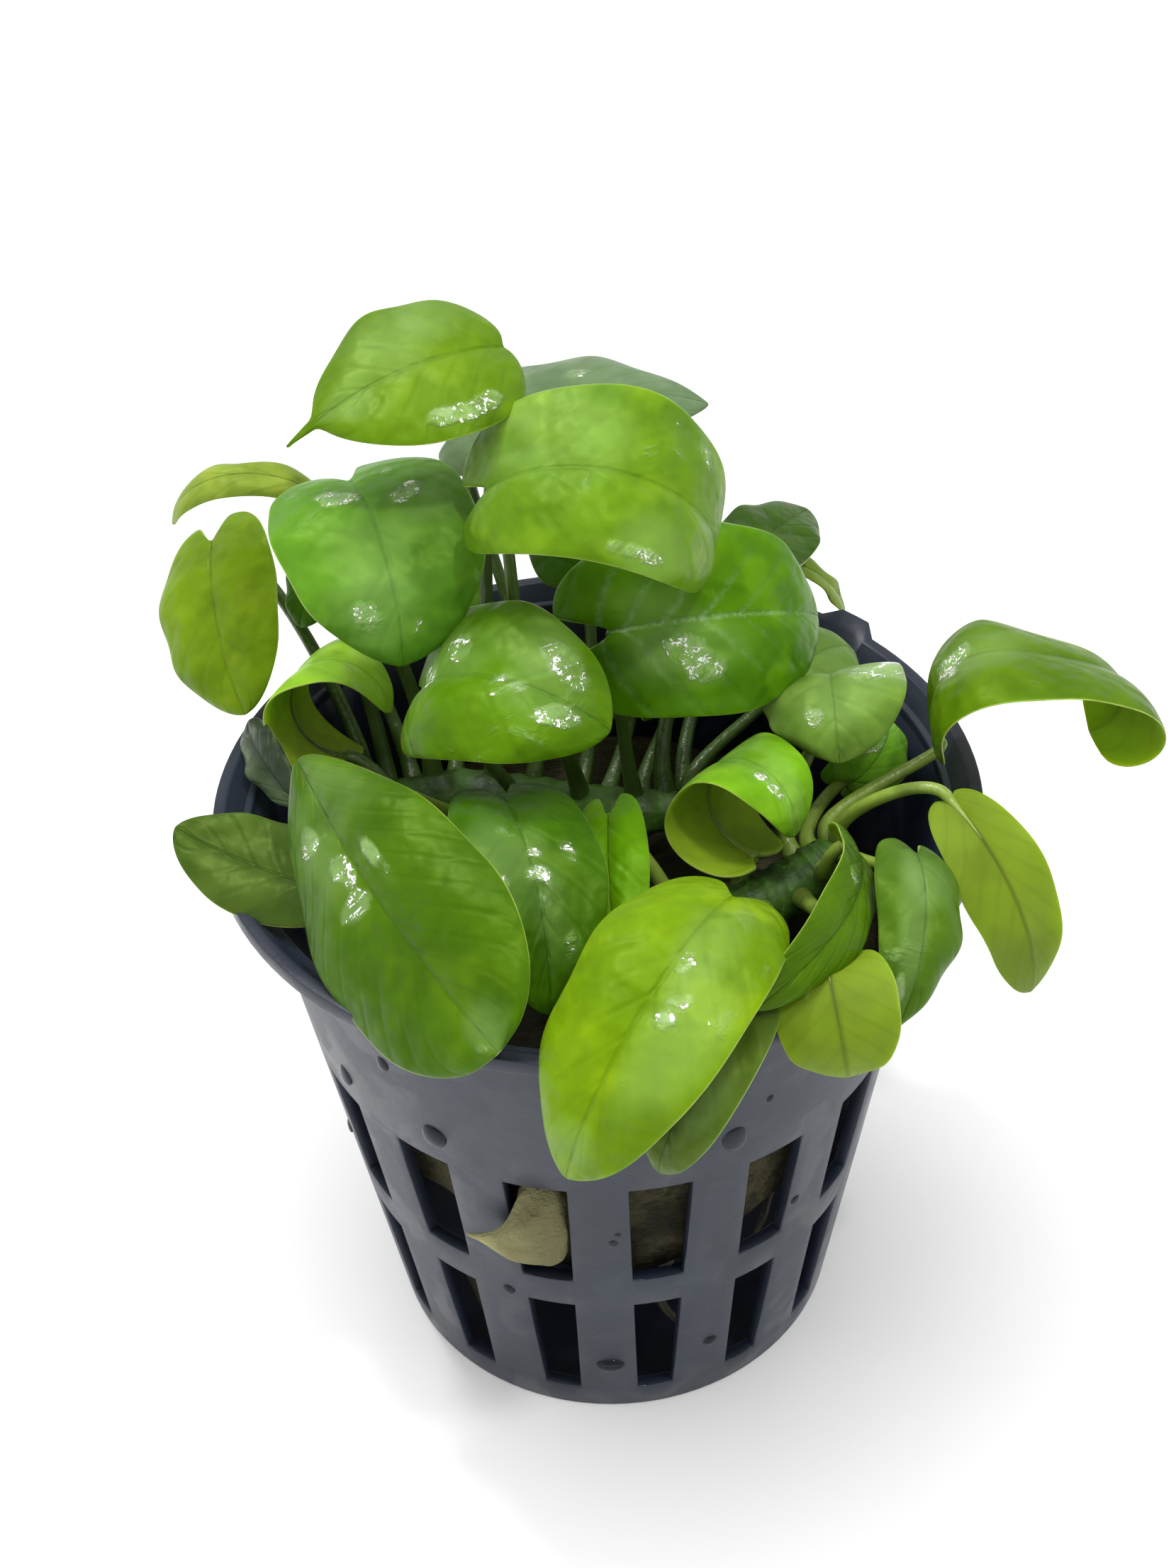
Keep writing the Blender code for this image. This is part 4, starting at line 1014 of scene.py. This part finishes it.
class Blade:
    """The curved sheet of one leaf, with a point and a normal for each share along and place across."""

    def __init__(self, leaf):
        self.leaf = leaf
        self.base = Vector(leaf.base)
        chord = Vector(leaf.tip) - self.base
        self.length = chord.length
        self.along = chord.normalized()
        face = Vector(leaf.face)
        self.up = (face - face.dot(self.along) * self.along).normalized()
        half_turn = 2 * math.atan(2 * leaf.bow / self.length)
        self.slopes = [math.radians(a) for a in leaf.curl] or [-half_turn, half_turn]
        places = [0j]
        for i in range(MIDRIB_STEPS):
            slope = value_along(self.slopes, (i + 0.5) / MIDRIB_STEPS)
            places.append(places[-1] + cmath.exp(-1j * slope))
        self.turned = self.length / places[-1]
        self.midrib = [place * self.turned for place in places]
        self.phase = sum(map(ord, leaf.name)) % 17

    def frame(self, share):
        """The midrib's point, direction, and the blade's normal and side direction there."""
        flat = value_along(self.midrib, share)
        angle = value_along(self.slopes, share) - cmath.phase(self.turned)
        point = self.base + self.along * flat.real + self.up * flat.imag
        forward = self.along * math.cos(angle) - self.up * math.sin(angle)
        normal = self.along * math.sin(angle) + self.up * math.cos(angle)
        side = forward.cross(normal)
        turn = math.radians(self.leaf.twist) * share
        return (
            point,
            forward,
            normal * math.cos(turn) - side * math.sin(turn),
            side * math.cos(turn) + normal * math.sin(turn),
        )

    def point(self, share, across):
        leaf = self.leaf
        point, forward, normal, side = self.frame(share)
        half_width = 0.5 * leaf.width * outline(share, leaf) + TIP_HALF_WIDTH
        droop = math.radians(leaf.droop[0 if across < 0 else 1])
        reach = abs(across)
        sideways, height = arc_offset(math.radians(leaf.vee), droop * reach, half_width * reach)
        back = leaf.lobes * (1 - share) ** 3 * (3 * reach**2 - 2 * reach**3)
        place = point + side * math.copysign(sideways, across) + normal * height - forward * back
        ripple = math.sin(self.phase + 17 * share + 2.0 * across) * reach**2 * math.sin(math.pi * share)
        groove = math.exp(-((sideways / GROOVE_WIDTH) ** 2)) * (1 - share)
        lift = leaf.wave * ripple - GROOVE_DEPTH * groove
        slope = math.radians(leaf.vee) - droop * reach
        lean = -math.sin(slope) * math.copysign(1.0, across)
        facing = (normal * math.cos(slope) + side * lean).normalized()
        return place + facing * lift, facing


def stalk_root(leaf):
    """Where the stalk leaves its rhizome, and the way that it starts."""
    rhizome = RHIZOMES[leaf.rhizome]
    centre, direction = path_point(rhizome.path, leaf.along)
    flank = direction.cross(Vector((0, 0, 1))).normalized()
    roll = math.radians(leaf.roll)
    out = direction.cross(flank) * -math.cos(roll) + flank * math.sin(roll)
    return centre + out * (value_along(rhizome.radii, leaf.along) - 0.3), out


def stalk_line(leaf, blade):
    """The stalk's centre line, from just inside the rhizome to the blade."""
    root, out = stalk_root(leaf)
    base, forward, normal, _ = blade.frame(0.0)
    reach = (base - root).length
    arrive = (forward * 0.45 + normal * 0.9).normalized()
    control = [root, root + out * reach * 0.3, base - arrive * reach * 0.3, base]
    if leaf.stalk:
        control = [root, root + out * reach * 0.25, Vector(leaf.stalk), base - arrive * reach * 0.25, base]
    return [bezier(control, i / STALK_STEPS) for i in range(STALK_STEPS)]


def build_leaf(leaf, settings, finishes):
    blade = Blade(leaf)
    thick = settings.thickness / MM
    bm = bmesh.new()
    uv = bm.loops.layers.uv.new("blade")
    squares, rows = BLADE_STEPS
    bmesh.ops.create_grid(bm, x_segments=squares, y_segments=rows, size=1.0)
    for face in bm.faces:
        for loop in face.loops:
            across, along = loop.vert.co.x, (loop.vert.co.y + 1) / 2
            share = along**1.5 * (1 - along) + (1 - (1 - along) ** 1.3) * along
            loop[uv].uv = ((across + 1) / 2, share)
    shares = {loop.vert: loop[uv].uv.copy() for face in bm.faces for loop in face.loops}
    for vert, (u, share) in shares.items():
        place, facing = blade.point(share, 2 * u - 1)
        vert.co = place + facing * half_thickness(thick, u, share)
    bm.normal_update()
    first = next(iter(bm.faces))
    u, share = shares[first.verts[0]]
    if first.normal.dot(blade.point(share, 2 * u - 1)[1]) < 0:
        bmesh.ops.reverse_faces(bm, faces=bm.faces)
    add_underside(bm, blade, shares, thick)
    add_stalk(bm, leaf, blade, settings)
    subdivide(add_piece(bm, leaf.name, finishes, ["leaf_" + leaf.name]))


def half_thickness(thick, u, share):
    """Half the blade's thickness, which thins out towards its tip and its edge."""
    return thick / 2 * (1 - 0.35 * share) * (1 - 0.6 * abs(2 * u - 1) ** 4)


def add_underside(bm, blade, shares, thick):
    """A second sheet under the first, turned over and joined to it all round by the blade's edge."""
    border = [e for e in bm.edges if e.is_boundary]
    copy = bmesh.ops.duplicate(bm, geom=bm.verts[:] + bm.edges[:] + bm.faces[:])
    under = [item for item in copy["geom"] if isinstance(item, bmesh.types.BMFace)]
    below = copy["vert_map"]
    for vert, (u, share) in shares.items():
        place, facing = blade.point(share, 2 * u - 1)
        below[vert].co = place - facing * half_thickness(thick, u, share)
    bmesh.ops.reverse_faces(bm, faces=under)
    for face in under:
        face.material_index = UNDER
    lower = [e for face in under for e in face.edges if e.is_boundary]
    for face in bmesh.ops.bridge_loops(bm, edges=border + lower)["faces"]:
        face.material_index = EDGE


def add_stalk(bm, leaf, blade, settings):
    """The stalk, swollen into a sheath at its foot, and the midrib that it becomes under the blade."""
    line = stalk_line(leaf, blade)
    radius = settings.stalk_radius / MM
    radii = [radius * (1.0 + 0.45 * math.exp(-i / 2.2) - 0.22 * i / len(line)) for i in range(len(line))]
    for i in range(RIB_STEPS):
        share = i / (RIB_STEPS - 1)
        point, _, normal, _ = blade.frame(RIB_END * share)
        size = radius * (0.66 - 0.64 * share**0.35)
        line.append(point - normal * (0.12 + 0.2 * size))
        radii.append(size)
    sweep_tube(bm, line, radii, blade.frame(0.0)[3], material=STALK, squash=0.92)


# Operators ------------------------------------------------------------------------------------------------


class PLANT_OT_pot(bpy.types.Operator):
    """Build the slotted net pot and the beads of water on it"""

    bl_idname = "plant.pot"
    bl_label = "Net pot"

    def execute(self, context):
        build_pot(context.scene.plant_pot)
        build_drops()
        return {"FINISHED"}


class PLANT_OT_wool(bpy.types.Operator):
    """Build the wool plug and the tuft that has worked through one slot"""

    bl_idname = "plant.wool"
    bl_label = "Wool plug"

    def execute(self, context):
        build_wool(context.scene.plant_wool)
        build_tuft(context.scene.plant_wool)
        return {"FINISHED"}


class PLANT_OT_stems(bpy.types.Operator):
    """Build the creeping stems and the roots that hang from the wool"""

    bl_idname = "plant.stems"
    bl_label = "Stems and roots"

    def execute(self, context):
        settings = context.scene.plant_stems
        bark = stem_finish("rhizome_skin", settings.rhizome_colour)
        for rhizome in RHIZOMES.values():
            build_rhizome(rhizome, bark)
        skin = stem_finish("root_skin", settings.root_colour)
        for name, start, path in ROOTS:
            build_root(name, start, path, skin)
        return {"FINISHED"}


class PLANT_OT_leaves(bpy.types.Operator):
    """Build one group of leaves, each with its stalk"""

    bl_idname = "plant.leaves"
    bl_label = "Leaves"

    group: EnumProperty(
        name="Group",
        description="Which leaves to build",
        items=[(key, key.capitalize(), f"The {key} leaves") for key in GROUPS],
    )

    def execute(self, context):
        settings = context.scene.plant_leaves
        pale_stalks = self.group in PALE_STALK_GROUPS
        edge = leaf_edge(settings.stalk_colour)
        # The stalks of the other groups get the painted-shade colour
        stalk = stalk_skin(settings.stalk_colour if pale_stalks else settings.shaded_stalk_colour)
        for leaf in LEAVES:
            if leaf.group == self.group:
                under = leaf_underside(leaf, settings.underside)
                build_leaf(leaf, settings, [leaf_upper(leaf), under, edge, stalk])
        return {"FINISHED"}


class PLANT_OT_stage(bpy.types.Operator):
    """Set up the pale floor, the soft lights and the camera"""

    bl_idname = "plant.stage"
    bl_label = "Stage"

    def execute(self, context):
        settings = context.scene.plant_stage
        build_floor(settings)
        build_lights(settings)
        build_camera(context.scene)
        return {"FINISHED"}


# Stage ----------------------------------------------------------------------------------------------------


def build_floor(settings):
    bm = bmesh.new()
    bmesh.ops.create_circle(bm, cap_ends=True, segments=96, radius=FLOOR_RADIUS)
    mesh = bpy.data.meshes.new("floor")
    bm.to_mesh(mesh)
    bm.free()
    g = Graph("floor")
    soft = g.noise(g.place(), 3, detail=2)
    colour = settings.floor_colour
    g.finish(Base_Color=g.mix(shade(colour, 0.985), colour, soft), Roughness=0.8)
    mesh.materials.append(g.material)
    floor = bpy.data.objects.new("floor", mesh)
    bpy.context.scene.collection.objects.link(floor)


def build_lights(settings):
    for name, place, side, setting, share in SOFTBOXES:
        lamp = bpy.data.lights.new(name, "AREA")
        lamp.shape = "RECTANGLE"
        lamp.size = lamp.size_y = side
        lamp.energy = getattr(settings, setting) * share
        light = bpy.data.objects.new(name, lamp)
        light.location = place
        light.rotation_euler = (Vector(LIGHT_TARGET) - Vector(place)).to_track_quat("-Z", "Y").to_euler()
        bpy.context.scene.collection.objects.link(light)
    world = bpy.data.worlds.new("studio")
    world.use_nodes = True
    background = world.node_tree.nodes["Background"]
    background.inputs["Color"].default_value = (1.0, 1.0, 1.0, 1.0)
    background.inputs["Strength"].default_value = settings.surround
    bpy.context.scene.world = world
    bpy.context.scene.view_settings.view_transform = "Standard"


def build_camera(scene):
    lens = bpy.data.cameras.new("camera")
    lens.lens = LENS
    lens.sensor_width = SENSOR_WIDTH
    lens.clip_start = 0.01
    camera = bpy.data.objects.new("camera", lens)
    rise, roll = math.radians(CAMERA_RISE), math.radians(CAMERA_ROLL)
    back = Vector((0, -math.cos(rise), math.sin(rise)))
    right = Vector((1, 0, 0))
    up = back.cross(right)
    across = right * math.cos(roll) + up * math.sin(roll)
    tall = up * math.cos(roll) - right * math.sin(roll)
    turned = Matrix((across, tall, back)).transposed().to_4x4()
    camera.matrix_world = Matrix.Translation(Vector(CAMERA_TARGET) + back * CAMERA_DISTANCE) @ turned
    scene.collection.objects.link(camera)
    scene.camera = camera


# Add-on ---------------------------------------------------------------------------------------------------


class PLANT_PT_panel(bpy.types.Panel):
    bl_label = "Potted anubias"
    bl_idname = "PLANT_PT_panel"
    bl_space_type = "VIEW_3D"
    bl_region_type = "UI"
    bl_category = "Plant"

    def draw(self, context):
        scene = context.scene
        for name in SETTINGS:
            settings = getattr(scene, name)
            box = self.layout.box()
            for key in settings.__annotations__:
                box.prop(settings, key)
            box.operator(name.replace("_", "."))


SETTINGS = {
    "plant_pot": PotSettings,
    "plant_wool": WoolSettings,
    "plant_stems": StemSettings,
    "plant_leaves": LeafSettings,
    "plant_stage": StageSettings,
}
CLASSES = (
    *SETTINGS.values(),
    PLANT_OT_pot,
    PLANT_OT_wool,
    PLANT_OT_stems,
    PLANT_OT_leaves,
    PLANT_OT_stage,
    PLANT_PT_panel,
)


def register():
    noise.seed_set(NOISE_SEED)
    for cls in CLASSES:
        bpy.utils.register_class(cls)
    for name, group in SETTINGS.items():
        setattr(bpy.types.Scene, name, PointerProperty(type=group))


def unregister():
    for name in SETTINGS:
        delattr(bpy.types.Scene, name)
    for cls in reversed(CLASSES):
        bpy.utils.unregister_class(cls)


def main():
    register()
    bpy.ops.plant.pot()
    bpy.ops.plant.wool()
    bpy.ops.plant.stems()
    for group in GROUPS:
        bpy.ops.plant.leaves(group=group)
    bpy.ops.plant.stage()


if __name__ == "__main__":
    main()
